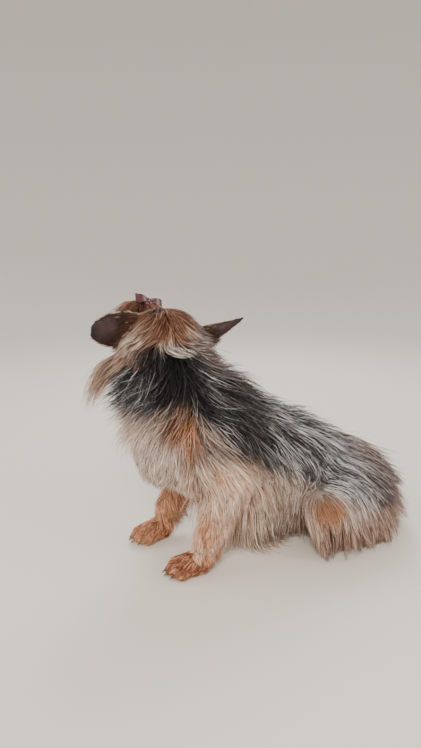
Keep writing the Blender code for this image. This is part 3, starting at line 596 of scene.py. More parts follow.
    head = (groups == 2) * 1.0
    lx, ly, lz = local.T
    wide = np.abs(lx)
    lay(head, BROWN, SAND, 0.30, 0.15)
    lay(head * (1 - ease(0.010, 0.020, lz)) * ease(0.022, 0.038, wide), DUN, BLUSH, 0.35, 0.2)
    lay(head * (1 - ease(-0.004, 0.006, lz)) * ease(0.034, 0.050, wide), FAWN, BLUSH, 0.5, 0.3)
    lay(head * (1 - ease(-0.036, -0.014, ly)), TAN, PEACH, 0.5, 0.2)
    lay(head * (1 - ease(-0.018, -0.002, lz)) * (1 - ease(-0.010, 0.006, ly)), FAWN, CREAM, 0.5, 0.4)
    behind = head * ease(-0.004, 0.008, ly) * (1 - ease(0.036, 0.050, wide))
    lay(behind * (1 - ease(-0.014, -0.006, lz)), INK, IRON, 0.12, 0.05)
    nape = head * ease(0.004, 0.016, ly) * (1 - ease(-0.024, -0.012, lx))
    lay(nape * (1 - ease(0.000, 0.010, lz)), MAUVE, ASH, 0.45, 0.15)
    across = (0.018 - lx) / 0.036
    drop = np.abs(lz + 0.010 + 0.013 * across) / (0.003 + 0.005 * np.clip(across, 0, 1))
    streak = ease(-0.15, 0.05, across) * (1 - ease(1.2, 2.0, across)) * (1 - ease(0.7, 1.3, drop))
    lay(head * ease(0.004, 0.016, ly) * streak, SLATE, WHITE, 0.76, 0.5)
    for tuft_x, tuft_z, reach, share in ((0.048, -0.002, 0.015, 0.7), (-0.024, 0.000, 0.010, 0.45)):
        tuft = np.hypot(lx - tuft_x, lz - tuft_z) / reach
        lay(head * (1 - ease(0.5, 1.1, tuft)) * (ly > 0), DUN, CREAM, share, 0.4)
    for _, sign in SIDES:
        eye = np.array(mirrored(EYE_PLACE, sign))
        reach = np.linalg.norm(local - eye, axis=1)
        lay(head * (1 - ease(0.0078, 0.0112, reach)), INK, UMBER, 0.2, 0)
    lips = np.abs(lz - MOUTH_DROP) + 0.4 * np.maximum(0, ly + 0.030)
    lay(head * (ly < -0.02) * (1 - ease(0.0010, 0.0024, lips)), INK, UMBER, 0.1, 0)
    return paint


def lie_of(points, away, groups):
    """The way that the hair falls at each point, by the group that it grows on."""
    x, y, z = points.T
    ones = np.ones(len(points))
    upward = np.clip(away[:, 2], 0, 1)
    side = np.sign(x)
    back = (-0.35 + 0.90 * ease(-0.115, -0.070, y)) * (0.12 + 0.88 * ease(0.055, 0.120, z))
    back = back + 0.5 * near(points, (0.056, -0.066, 0.132), (0.030, 0.030, 0.024))
    back = back + 0.55 * ease(0.115, 0.155, y)
    flat = unit(away * np.array((1, 1, 0)) + np.array((0, 1e-6, 0)))
    rump = (ease(0.10, 0.14, y) * ease(0.030, 0.085, z))[:, None] * flat
    torso = np.column_stack(
        [0.5 * upward * side, back + 0.5 * upward * ease(-0.09, -0.03, y), -ones]
    ) + 0.6 * rump
    from_nape = y - NECK_MIDDLE.y
    fan = 1.35 * np.clip(from_nape / 0.026, -1, 1) * (1 - 0.8 * ease(0.040, 0.085, np.abs(from_nape)))
    fan = fan * (0.3 + 0.7 * ease(0.150, 0.190, z))
    neck = np.column_stack([0 * ones, fan, -ones]) + flat * 0.45
    tail = np.array((TAIL_TIP - TAIL_ROOT).normalized()) * 0.6 + np.column_stack(
        [away[:, 0] * 0.3, 0 * ones, -0.8 * ones]
    )
    behind = np.clip(away[:, 1], 0, 1)
    foreleg = np.column_stack(
        [away[:, 0] * 0.2, 0.02 + 0.85 * behind + 0.45 * ease(0.09, 0.12, z), -ones]
    )
    slant = 0.12 + 0.4 * ease(0.04, 0.08, z) * ease(0.030, 0.060, y)
    hindleg = np.column_stack([0.35 * side, slant, -ones]) + 0.6 * rump
    paw = np.column_stack([away[:, 0] * 0.4, -0.75 * ones, -0.25 - 0.5 * upward])
    lies = (torso, neck, head_lie(points), tail, foreleg, hindleg, paw)
    chosen = np.zeros_like(points)
    for number, lie in enumerate(lies):
        chosen[groups == number] = lie[groups == number]
    return unit(chosen)


def head_lie(points):
    """Away from the crown over the skull, out over the ears, and out and down from the cheeks."""
    local = to_head(points)
    x, y, z = local.T
    side = np.sign(x) * np.minimum(1, np.abs(x) / 0.004)
    ones = np.ones(len(points))
    spread = np.clip(x / 0.022, -1, 1) * (1 + 0.9 * ease(0.016, 0.030, np.abs(x)))
    skull = unit(np.column_stack([spread, 0.35 * np.sign(y + 0.012), -0.8 * ones]))
    to_left = 1.0 * ease(0.014, 0.026, x) - 1.35 * (1 - ease(0.006, 0.016, x))
    nape = unit(np.column_stack([to_left, 0.35 * ones, -0.6 * ones]))
    falling = ease(0.044, 0.080, np.abs(x))
    cheek = unit(np.column_stack([side * (1.7 - 1.45 * falling), 0.15 * ones, -0.55 - 0.7 * falling]))
    muzzle = unit(np.column_stack([0.9 * side, 0.05 * ones, -0.9 * ones]))
    chin = unit(np.column_stack([0.2 * side, -0.2 * ones, -ones]))
    fall = skull
    layers = (
        (1 - ease(-0.008, 0.006, z), cheek),
        (ease(0.010, 0.022, y) * (1 - ease(-0.010, 0.000, z)), nape),
        (1 - ease(-0.036, -0.022, y), muzzle),
        ((1 - ease(-0.022, -0.014, z)) * (1 - ease(-0.028, -0.012, y)), chin),
        (ease(0.004, 0.012, z) * (1 - ease(-0.022, -0.014, y)), unit(np.array(BAND_PLACE) - local)),
    )
    for weight, way in layers:
        fall = fall * (1 - weight[:, None]) + way * weight[:, None]
    turn = np.array(head_frame().to_3x3())
    return unit(fall) @ turn.T


def coat_plan(points, groups, away):
    """The length, width and lift of the hair at each root."""
    x, y, z = points.T
    local = to_head(points)
    length = np.array((0.066, 0.060, 0.030, 0.028, 0.013, 0.046, 0.0085))[groups]
    lift = np.array((0.012, 0.020, 0.013, 0.011, 0.006, 0.010, 0.0032))[groups]

    def change(weight, new_length, new_lift):
        nonlocal length, lift
        length = length * (1 - weight) + new_length * weight
        lift = lift * (1 - weight) + new_lift * weight

    torso = (groups == 0) * 1.0
    change(torso * (1 - ease(0.085, 0.115, z)) * ease(-0.05, -0.03, y), 0.100, 0.014)
    along_back = ease(0.3, 0.8, away[:, 2]) * (1 - ease(0.040, 0.075, y))
    change(torso * along_back, 0.062, 0.026)
    change(torso * ease(0.105, 0.145, y), 0.064, 0.032)
    change(torso * ease(0.105, 0.145, y) * (1 - ease(0.030, 0.060, z)), 0.036, 0.016)
    change(torso * (1 - ease(-0.105, -0.080, y)), 0.036, 0.014)
    change(torso * (1 - ease(-0.090, -0.065, y)) * (1 - ease(0.090, 0.125, z)), 0.022, 0.008)
    change((groups == 1) * ease(-0.098, -0.078, y) * ease(0.165, 0.190, z), 0.060, 0.030)
    change((groups == 1) * (1 - ease(-0.125, -0.105, y)), 0.058, 0.030)
    change((groups == 1) * (1 - ease(0.150, 0.180, z)), 0.044, 0.016)
    leg = (groups == 4) * 1.0
    change(leg * ease(0.035, 0.060, z), 0.022, 0.010)
    change(leg * ease(0.085, 0.110, z), 0.048, 0.014)
    change(leg * ease(0.2, 0.7, away[:, 1]) * ease(0.030, 0.050, z), 0.044, 0.018)
    hind = (groups == 5) * 1.0
    change(hind * near(points, (0.088, 0.052, 0.066), (0.026, 0.020, 0.018)), 0.030, 0.007)
    change(hind * (1 - ease(0.038, 0.048, z)), 0.028, 0.008)
    change(hind * (1 - ease(0.036, 0.046, y)), 0.062, 0.010)
    change(hind * ease(0.100, 0.130, y), 0.050, 0.026)
    change(hind * ease(0.100, 0.130, y) * (1 - ease(0.030, 0.050, z)), 0.030, 0.012)
    change((groups == 6) * ease(0.0, 0.02, y), 0.014, 0.004)

    head = (groups == 2) * 1.0
    lx, ly, lz = local.T
    over_ear = ease(0.014, 0.024, np.abs(lx)) * ease(-0.010, 0.004, ly)
    change(head * over_ear * ease(-0.006, 0.004, lz), 0.040, 0.016)
    change(head * (1 - ease(-0.004, 0.008, lz)) * ease(0.004, 0.016, ly), 0.038, 0.016)
    sides = ease(0.010, 0.018, np.abs(lx)) * (1 - ease(0.006, 0.024, ly))
    change(head * (1 - ease(-0.010, 0.002, lz)) * sides, 0.078, 0.031)
    change(head * (1 - ease(-0.038, -0.026, ly)) * (1 - ease(-0.012, -0.004, lz)), 0.038, 0.010)
    change(head * (1 - ease(-0.034, -0.022, ly)) * ease(-0.008, -0.002, lz), 0.007, 0.0028)
    for _, sign in SIDES:
        reach = np.linalg.norm(local - np.array(mirrored(EYE_PLACE, sign)), axis=1)
        change(head * (1 - ease(0.009, 0.018, reach)), 0.0055, 0.0022)
    to_nose = np.linalg.norm(local - np.array(NOSE_PLACE), axis=1)
    change(head * (1 - ease(0.009, 0.017, to_nose)), 0.006, 0.002)
    width = np.interp(length, (0.004, 0.015, 0.05), (0.6 * MM, 0.85 * MM, 1.1 * MM))
    return length, width, lift


def scatter_roots(skin, masses, count, rng):
    """Roots spread over the skin, closer where the hair is short."""
    mesh = skin.data
    mesh.calc_loop_triangles()
    corners = np.empty(len(mesh.loop_triangles) * 3, np.int32)
    mesh.loop_triangles.foreach_get("vertices", corners)
    places = np.empty(len(mesh.vertices) * 3, np.float32)
    mesh.vertices.foreach_get("co", places)
    faces = places.reshape(-1, 3).astype(float)[corners.reshape(-1, 3)]
    cross = np.cross(faces[:, 1] - faces[:, 0], faces[:, 2] - faces[:, 0])
    area = np.linalg.norm(cross, axis=1) / 2
    middle = faces.mean(axis=1)
    groups = group_of(middle, masses)
    away = unit(cross)
    length, _, _ = coat_plan(middle, groups, away)
    density = np.interp(length, (0.005, 0.015, 0.04), (2.4, 1.6, 1.0))
    density = density * np.array((1.0, 1.3, 1.9, 1.0, 1.25, 0.8, 0.9))[groups]
    hidden = (away[:, 2] < -0.5) & (np.abs(middle[:, 0]) < 0.030) & (groups == 0)
    density = density * np.where(hidden, 0.4, 1) * (middle[:, 2] > 2.5 * MM)
    flank = (np.abs(middle[:, 1] - 0.015) < 0.060) & (middle[:, 2] < 0.095) & (groups == 0)
    density = density * np.where(flank, 1.5, 1)
    local = to_head(middle)
    for _, sign in SIDES:
        reach = np.linalg.norm(local - np.array(mirrored(EYE_PLACE, sign)), axis=1)
        density = density * (reach > EYE_RADIUS + 1.4 * MM)
    density = density * (np.linalg.norm(local - np.array(NOSE_PLACE), axis=1) > 0.0085)
    crown = np.hypot(local[:, 0], local[:, 1] + 0.012) < 0.018
    density = density * ~(crown & (local[:, 2] > 0.015))
    mouth = (np.abs(local[:, 2] - MOUTH_DROP) < 1.2 * MM) & (local[:, 1] < -0.03) & (groups == 2)
    density = density * ~mouth
    total = np.cumsum(area * density)
    picks = np.searchsorted(total, rng.random(count) * total[-1])
    split = rng.random((count, 2))
    folded = split.sum(axis=1) > 1
    split[folded] = 1 - split[folded]
    chosen = faces[picks]
    roots = (
        chosen[:, 0]
        + (chosen[:, 1] - chosen[:, 0]) * split[:, :1]
        + (chosen[:, 2] - chosen[:, 0]) * split[:, 1:]
    )
    return roots, away[picks], groups[picks]


def drift(points, rng, reach, strength):
    """A slow wander of direction over the body, the same for neighbours."""
    total = np.zeros_like(points)
    for _ in range(4):
        waves = rng.normal(size=(3, 3)) / reach
        phase = rng.random(3) * 2 * math.pi
        total += np.sin(points @ waves.T + phase)
    return total * strength / 2


def grow(field, roots, away, groups, sizes, rng, steps=9):
    """Leads every hair from its root along the lie, over the skin and then free, by equal steps."""
    length, lift = sizes
    count = len(roots)
    point = roots - away * 0.8 * MM
    facing = away.copy()
    path = [point]
    facings = [facing]
    own = np.clip(rng.normal(size=(count, 3)), -2, 2) * np.where(groups == 1, 0.20, 0.10)[:, None]
    wave_seed = np.random.default_rng(SEED + 1)
    wander = drift(roots, wave_seed, 0.020, 0.16)
    lie = lie_of(roots, away, groups)
    heading = unit(lie - away * (np.sum(lie * away, axis=1, keepdims=True) - 0.35))
    step = (length / steps)[:, None]
    hanging = np.isin(groups, (0, 5)) & (roots[:, 2] < 0.115) & (roots[:, 1] > -0.04)
    grip = np.where(np.isin(groups, (1, 2)), 0.65, np.where(hanging, 0.4, 1))[:, None]
    cling = np.where(groups == 2, 0.02, np.where(hanging, 0.05, 0.22))
    for index in range(1, steps + 1):
        share = index / steps
        distance, out = look_up(field, point)
        facing = unit(facing * 0.5 + out * 0.5)
        lie = lie_of(point, out, groups) + own + wander
        hold = np.clip(1 - distance / 0.022, 0, 1)[:, None] * grip
        lie = lie - out * np.sum(lie * out, axis=1, keepdims=True) * hold
        heading = unit(heading * 0.55 + unit(lie) * 0.45)
        point = point + heading * step
        distance, out = look_up(field, point)
        target = lift * (0.15 + 0.85 * share)
        sink = cling * length / steps
        rise = np.clip(target - distance, -sink, 0.6 * length / steps)
        rise = np.where(distance > 0.026, 0, rise)
        point = point + out * rise[:, None]
        point[:, 2] = np.maximum(point[:, 2], 0.9 * MM)
        path.append(point)
        facings.append(facing)
    return np.stack(path, axis=1), np.stack(facings, axis=1)


def gather(paths, roots, groups, spacing, strength, rng):
    """Draws the hairs of a lock together towards their leader, more and more to the tips."""
    count = len(roots)
    leaders = np.flatnonzero(rng.random(count) < spacing)
    apart = roots + np.multiply.outer(groups, (0, 0, 1))
    tree = kdtree.KDTree(len(leaders))
    for number, leader in enumerate(leaders):
        tree.insert(apart[leader], number)
    tree.balance()
    own = np.array([leaders[tree.find(place)[1]] for place in apart])
    share = np.linspace(0, 1, paths.shape[1])[None, :, None] ** 1.3
    pull = share * strength[:, None, None]
    near_enough = np.linalg.norm(paths[own] - paths, axis=2).max(axis=1) < 0.022
    pull = pull * near_enough[:, None, None]
    return paths + (paths[own] - paths) * pull, own


def crimp(paths, facings, length, locks, depth):
    """Waves every hair sideways, in step with its lock."""
    draw = np.random.default_rng(SEED + 6)
    phase = draw.random(len(paths))[locks] * 2 * math.pi
    stride = (0.022 + 0.014 * draw.random(len(paths)))[locks]
    share = np.linspace(0, 1, paths.shape[1])
    turn = 2 * math.pi * length[:, None] * share / stride[:, None] + phase[:, None]
    ahead = np.gradient(paths, axis=1)
    across = unit(np.cross(facings, ahead).reshape(-1, 3)).reshape(paths.shape)
    sway = depth[:, None] * share * (np.sin(turn) - np.sin(phase)[:, None])
    return paths + across * sway[..., None]


def resample(values, places):
    """Values along each hair at given shares of its length."""
    last = values.shape[1] - 1
    at = np.array(places) * last
    base = np.minimum(at.astype(int), last - 1)
    rest = (at - base)[None, :, None]
    return values[:, base] * (1 - rest) + values[:, base + 1] * rest


def hair_mesh(name, paths, facings, widths, colours, bake_places, profile):
    """Closed tapered hairs as one mesh: three-sided, with rings at the profile's shares.

    The colours are given at even steps from root to tip. The strand map runs round and along
    each hair, and the bake map holds each hair as a small patch at its root's place on the skin.
    """
    places = [place for place, _ in profile]
    shares = np.array([wide for _, wide in profile])
    rings = len(places)
    centre = resample(paths, [*places, 1.0])
    facing = resample(facings, places)
    ahead = centre[:, 1:] - centre[:, :-1]
    count = len(paths)
    across = np.cross(facing.reshape(-1, 3), ahead.reshape(-1, 3))
    across = unit(across).reshape(count, rings, 3)
    up = unit(np.cross(ahead.reshape(-1, 3), across.reshape(-1, 3))).reshape(count, rings, 3)
    half = widths[:, None, None] / 2 * shares[None, :, None]
    body = centre[:, :-1]
    sides = np.stack(
        [body + across * half, body + up * half * 0.75, body - across * half], axis=2
    )
    sides = sides - up[:, :, None, :] * (half[:, :, None, :] * 0.2)
    points = np.concatenate([sides.reshape(count, rings * 3, 3), centre[:, -1:]], axis=1)
    per_hair = rings * 3 + 1

    quads, quad_maps = [], []
    for ring in range(rings - 1):
        for side in range(3):
            a = ring * 3 + side
            b = ring * 3 + (side + 1) % 3
            quads.append((a, b, b + 3, a + 3))
            low, high = places[ring], places[ring + 1]
            quad_maps += [(side / 3, low), ((side + 1) / 3, low), ((side + 1) / 3, high), (side / 3, high)]
    triangles, triangle_maps = [], []
    last = (rings - 1) * 3
    for side in range(3):
        triangles.append((last + side, last + (side + 1) % 3, per_hair - 1))
        triangle_maps += [(side / 3, places[-1]), ((side + 1) / 3, places[-1]), ((side + 0.5) / 3, 1.0)]
    triangles.append((0, 2, 1))
    triangle_maps += [(0, 0), (0.66, 0), (0.33, 0)]
    one_hair = np.array([corner for face in quads + triangles for corner in face])
    one_map = np.array(quad_maps + triangle_maps)
    sizes = np.array([4] * len(quads) + [3] * len(triangles))

    corners = (one_hair[None, :] + np.arange(count)[:, None] * per_hair).ravel()
    totals = np.tile(sizes, count)
    mesh = bpy.data.meshes.new(name)
    mesh.vertices.add(count * per_hair)
    mesh.vertices.foreach_set("co", points.astype(np.float32).ravel())
    mesh.loops.add(len(corners))
    mesh.loops.foreach_set("vertex_index", corners.astype(np.int32))
    mesh.polygons.add(len(totals))
    starts = np.concatenate([[0], np.cumsum(totals)[:-1]])
    mesh.polygons.foreach_set("loop_start", starts.astype(np.int32))
    mesh.update(calc_edges=True)
    mesh.validate()

    strand = mesh.uv_layers.new(name="strand")
    draw = np.random.default_rng(SEED + len(name))
    offset = draw.random((count, 1, 2)) * 40
    strand.uv.foreach_set("vector", (one_map[None] + offset).astype(np.float32).ravel())
    bake = mesh.uv_layers.new(name="OFBake")
    patch = bake_places[:, None] + (one_map[None] - 0.5) * 0.003
    bake.uv.foreach_set("vector", patch.astype(np.float32).ravel())

    along = np.concatenate([np.repeat(places, 3), [1.0]])
    tint = resample(colours, along)
    tint = np.concatenate([tint, np.ones((count, per_hair, 1))], axis=2)
    layer = mesh.attributes.new("coat_colour", "FLOAT_COLOR", "POINT")
    layer.data.foreach_set("color", tint.astype(np.float32).ravel())
    obj = bpy.data.objects.new(name, mesh)
    bpy.context.scene.collection.objects.link(obj)
    return obj


def skin_map(skin):
    """Where each place on the skin lies on a flat unwrap of the skin's own shape."""
    copy = bpy.data.objects.new("skin_map", skin.data.copy())
    bpy.context.scene.collection.objects.link(copy)
    apply_modifier(copy, "REMESH", mode="VOXEL", voxel_size=COARSE_VOXEL)
    deselect()
    copy.select_set(True)
    bpy.context.view_layer.objects.active = copy
    bpy.ops.object.mode_set(mode="EDIT")
    bpy.ops.mesh.select_all(action="SELECT")
    bpy.ops.mesh.quads_convert_to_tris()
    bpy.ops.uv.smart_project(angle_limit=math.radians(66), island_margin=0.004)
    bpy.ops.object.mode_set(mode="OBJECT")
    mesh = copy.data
    uvs = np.empty(len(mesh.loops) * 2, np.float32)
    mesh.uv_layers.active.uv.foreach_get("vector", uvs)
    corners = np.empty(len(mesh.loops), np.int32)
    mesh.loops.foreach_get("vertex_index", corners)
    places = np.empty(len(mesh.vertices) * 3, np.float32)
    mesh.vertices.foreach_get("co", places)
    tree = tree_of(copy)
    faces = places.reshape(-1, 3)[corners].reshape(-1, 3, 3).astype(float)
    flat = uvs.reshape(-1, 3, 2).astype(float)
    bpy.data.objects.remove(copy)
    return tree, faces, flat


def bake_places(flat_map, roots):
    """Each root's place on the skin's unwrap."""
    tree, faces, flat = flat_map
    index = np.empty(len(roots), int)
    spots = np.empty((len(roots), 3))
    for number, root in enumerate(roots):
        spot, _, face, _ = tree.find_nearest(root)
        index[number] = face
        spots[number] = spot
    corner = faces[index]
    first = corner[:, 1] - corner[:, 0]
    second = corner[:, 2] - corner[:, 0]
    rest = spots - corner[:, 0]
    a = np.sum(first * first, axis=1)
    b = np.sum(first * second, axis=1)
    c = np.sum(second * second, axis=1)
    d = np.sum(rest * first, axis=1)
    e = np.sum(rest * second, axis=1)
    scale = np.maximum(a * c - b * b, 1e-18)
    u = np.clip((c * d - b * e) / scale, 0, 1)[:, None]
    v = np.clip((a * e - b * d) / scale, 0, 1)[:, None]
    own = flat[index]
    return own[:, 0] * (1 - u - v) + own[:, 1] * u + own[:, 2] * v


def hair_colours(paths, groups, locks, stray, rng):
    """Each hair's colours from root to tip, by the markings where it lies, toned by its lock."""
    count = len(paths)
    lock_tone = np.random.default_rng(SEED + 5).normal(size=count)[locks]
    astray = rng.normal(size=(count, 3)) * 3.5 * MM
    paints = [markings(paths[:, step] + astray, groups) for step in (1, 5, 8)]
    together = np.where(np.isin(groups, (1, 2)), 0.07, 0.17)
    chance = sum(paint["share"] for paint in paints) / 3 + together * lock_tone + 0.35 * stray
    pale = (rng.random(count) < chance)[:, None]
    mix = rng.random((count, 1)) * 0.18
    tone = np.exp(0.16 * rng.normal(size=(count, 1)) + 0.10 * lock_tone[:, None])
    stops = []
    for paint, shade in zip(paints, (0.62, 0.9, 1.1)):
        base = np.where(pale, paint["light"], paint["dark"])
        other = np.where(pale, paint["dark"], paint["light"] * 0.5 + paint["dark"] * 0.5)
        stops.append((base * (1 - mix) + other * mix) * tone * shade)
    fade = (paints[2]["fade"] * (0.4 + 1.1 * rng.random(count)))[:, None]
    stops[2] = stops[2] * (1 - fade) + paints[2]["light"] * fade
    return np.minimum(np.stack(stops, axis=1), 0.95)


LONG_PROFILE = ((0.0, 0.75), (0.26, 1.0), (0.54, 0.9), (0.80, 0.58))
SHORT_PROFILE = ((0.0, 0.9), (0.35, 1.0), (0.72, 0.62))


def build_coat(skin, masses, material):
    """The whole coat: long hair in locks on the body, and short hair on the legs and face."""
    rng = np.random.default_rng(SEED)
    low = [min(corner[axis] for corner in skin.bound_box) for axis in range(3)]
    high = [max(corner[axis] for corner in skin.bound_box) for axis in range(3)]
    flat_map = skin_map(skin)
    field = measure_field(flat_map[0], low, high)
    count = 65000
    roots, away, groups = scatter_roots(skin, masses, count, rng)
    length, width, lift = coat_plan(roots, groups, away)
    length = length * (0.75 + 0.45 * rng.random(count))
    stray = rng.random(count) < np.where(groups == 1, 0.18, 0.05)
    lift = lift * (0.15 + 0.85 * rng.random(count) ** 0.8) * np.where(stray & (groups != 2), 1.35, 1)
    width = width * (0.8 + 0.4 * rng.random(count)) * np.where(stray, 0.6, 1)
    paths, facings = grow(field, roots, away, groups, (length, lift), rng)
    strength = np.interp(length, (0.008, 0.03), (0.45, 0.72)) * np.where(stray, 0.2, 1)
    paths, locks = gather(paths, roots, groups, 0.085, strength, rng)
    depth = np.interp(length, (0.02, 0.06), (0.2 * MM, 1.3 * MM))
    paths = crimp(paths, facings, length, locks, depth)
    paths[:, :, 2] = np.maximum(paths[:, :, 2], 0.9 * MM)
    colours = hair_colours(paths, groups, locks, stray, rng)
    flat = bake_places(flat_map, roots)
    totals = []
    for label, members, most in (
        ("coat_body", groups == 0, 5600),
        ("coat_neck", groups == 1, 5600),
        ("coat_head", groups == 2, 5600),
        ("coat_tail", groups == 3, 5600),
        ("coat_forelegs", groups == 4, 5600),
        ("coat_hindlegs", groups == 5, 5600),
        ("coat_paws", groups == 6, 9000),
    ):
        chosen = np.flatnonzero(members)
        parts = max(1, math.ceil(len(chosen) / most))
        for part in range(parts):
            own = chosen[part::parts]
            profile = SHORT_PROFILE if np.median(length[own]) < 0.016 else LONG_PROFILE
            name = label if parts == 1 else f"{label}_{part + 1}"
            obj = hair_mesh(
                name,
                paths[own],
                facings[own],
                width[own],
                colours[own],
                flat[own],
                profile,
            )
            finish_piece(obj, material, "steel_coat")
            totals.append((name, len(own) * (22 if profile is LONG_PROFILE else 16)))
    print("COAT", sum(number for _, number in totals), totals)
    return flat_map


def coat_material():
    """Silky hair: a soft lengthwise gloss, with each hair's own colour from root to tip."""
    material, tree, shader = new_material(
        "silky_hair", Roughness=0.45, Specular_IOR_Level=0.28
    )
    colour = add_node(tree, "ShaderNodeAttribute", attribute_name="coat_colour")
    uv = add_node(tree, "ShaderNodeUVMap", uv_map="strand")
    stretch = add_node(
        tree, "ShaderNodeMapping", {"Vector": uv.outputs["UV"], "Scale": (9, 1.2, 1)}
    )
    fibre = add_node(
        tree,
        "ShaderNodeTexNoise",
        {"Vector": stretch.outputs["Vector"], "Scale": 1.0, "Detail": 2.0, "Roughness": 0.6},
        noise_dimensions="2D",
    )
    spread = add_node(
        tree,
        "ShaderNodeMapRange",
        {"Value": fibre.outputs["Fac"], "From Min": 0.3, "From Max": 0.7, "To Min": 0.72, "To Max": 1.25},
    )
    shade = add_node(
        tree,
        "ShaderNodeVectorMath",
        {0: colour.outputs["Color"], 3: spread.outputs["Result"]},
        operation="SCALE",
    )
    bump = add_node(
        tree,
        "ShaderNodeBump",
        {"Height": fibre.outputs["Fac"], "Strength": 0.35, "Distance": 0.2 * MM},
    )
    tree.links.new(shade.outputs["Vector"], shader.inputs["Base Color"])
    tree.links.new(bump.outputs["Normal"], shader.inputs["Normal"])
    return material


def skin_material():
    """Skin under the coat: its markings darkened, with the grain of the hair's roots."""
    material, tree, shader = new_material("furred_skin", Roughness=0.7)
    colour = add_node(tree, "ShaderNodeAttribute", attribute_name="coat_colour")
    place = add_node(tree, "ShaderNodeTexCoord")
    grain = add_node(
        tree,
        "ShaderNodeTexNoise",
        {"Vector": place.outputs["Object"], "Scale": 900.0, "Detail": 3.0},
    )
    spread = add_node(
        tree,
        "ShaderNodeMapRange",
        {"Value": grain.outputs["Fac"], "From Min": 0.3, "From Max": 0.7, "To Min": 0.6, "To Max": 1.3},
    )
    shade = add_node(
        tree,
        "ShaderNodeVectorMath",
        {0: colour.outputs["Color"], 3: spread.outputs["Result"]},
        operation="SCALE",
    )
    bump = add_node(
        tree, "ShaderNodeBump", {"Height": grain.outputs["Fac"], "Strength": 0.6, "Distance": 0.4 * MM}
    )
    tree.links.new(shade.outputs["Vector"], shader.inputs["Base Color"])
    tree.links.new(bump.outputs["Normal"], shader.inputs["Normal"])
    return material


def paint_skin(skin, masses):
    """Lays the coat's markings on the skin."""
    places = np.empty(len(skin.data.vertices) * 3, np.float32)
    skin.data.vertices.foreach_get("co", places)
    points = places.reshape(-1, 3).astype(float)
    paint = markings(points, group_of(points, masses))
    share = paint["share"][:, None] * 0.6
    colour = (paint["dark"] * (1 - share) + paint["light"] * share) * 0.55
    colour = np.concatenate([colour, np.ones((len(points), 1))], axis=1)
    layer = skin.data.attributes.new("coat_colour", "FLOAT_COLOR", "POINT")
    layer.data.foreach_set("color", colour.astype(np.float32).ravel())


def new_grid(name, across, along):
    """A flat grid from -1 to 1 both ways, with its own map, to be shaped in place."""
    deselect()
    bpy.ops.mesh.primitive_grid_add(x_subdivisions=across, y_subdivisions=along, size=2)
    made = bpy.context.object
    made.name = name
    return made


def ear_points(side_name, sign, across, share):
    """Places on an ear's middle surface: across it from -1 to 1, and from its root at 0 to its tip."""
    shape = EAR_SHAPES[side_name]
    along = shape["lean"].normalized()
    wide = along.cross(mirrored(shape["opening"], sign)).normalized() * sign
    inward = wide.cross(along).normalized() * sign
    root = mirrored(shape["root"], sign) - along * EAR_SUNK
    length = shape["length"]
    taper = (1 - share ** shape["narrowing"]) ** shape["bluntness"]
    half = shape["width"] / 2 * taper * (0.82 + 0.18 * np.sin(math.pi * share))
    bend = length * share * share
    depth = shape["cup"] * half * (across * across - 0.4) - shape["sweep"] * bend
    depth = depth + 0.6 * MM * np.sin(9 * share + 4 * across) * share
    spread = half * across * (1 - 0.12 * across * across)
    points = (
        np.array(root)
        + np.multiply.outer(length * share, np.array(along))
        + np.multiply.outer(shape["rise"] * bend, np.array((0, 0, 1)))
        + np.multiply.outer(spread, np.array(wide))
        + np.multiply.outer(depth, np.array(inward))
    )
    return from_head(points)


def ear_side(side_name, sign):
    """Whether an ear's positive edge is its upper one, as a sign."""
    edges = ear_points(side_name, sign, np.array((-1.0, 1.0)), np.array((0.4, 0.4)))
    return 1.0 if edges[1, 2] > edges[0, 2] else -1.0


def add_ear(side_name, sign, material):
    """A leathery ear: a grid bent into a cupped leaf, thickened and rounded."""
    ear = new_grid("ear_" + side_name + "_leaf", 12, 20)
    across = np.array([vertex.co.x for vertex in ear.data.vertices])
    share = np.array([(vertex.co.y + 1) / 2 for vertex in ear.data.vertices])
    share = 0.985 * share
    points = ear_points(side_name, sign, across, share)
    for vertex, point in zip(ear.data.vertices, points):
        vertex.co = point
    apply_modifier(ear, "SOLIDIFY", thickness=1.5 * MM, offset=0)
    apply_modifier(ear, "SUBSURF", levels=1, render_levels=1)
    recalculate_normals(ear)
    return finish_piece(ear, material, "ear_skin", "ear_" + side_name)


def recalculate_normals(obj):
    deselect()
    obj.select_set(True)
    bpy.context.view_layer.objects.active = obj
    bpy.ops.object.mode_set(mode="EDIT")
    bpy.ops.mesh.select_all(action="SELECT")
    bpy.ops.mesh.normals_make_consistent(inside=False)
    bpy.ops.object.mode_set(mode="OBJECT")


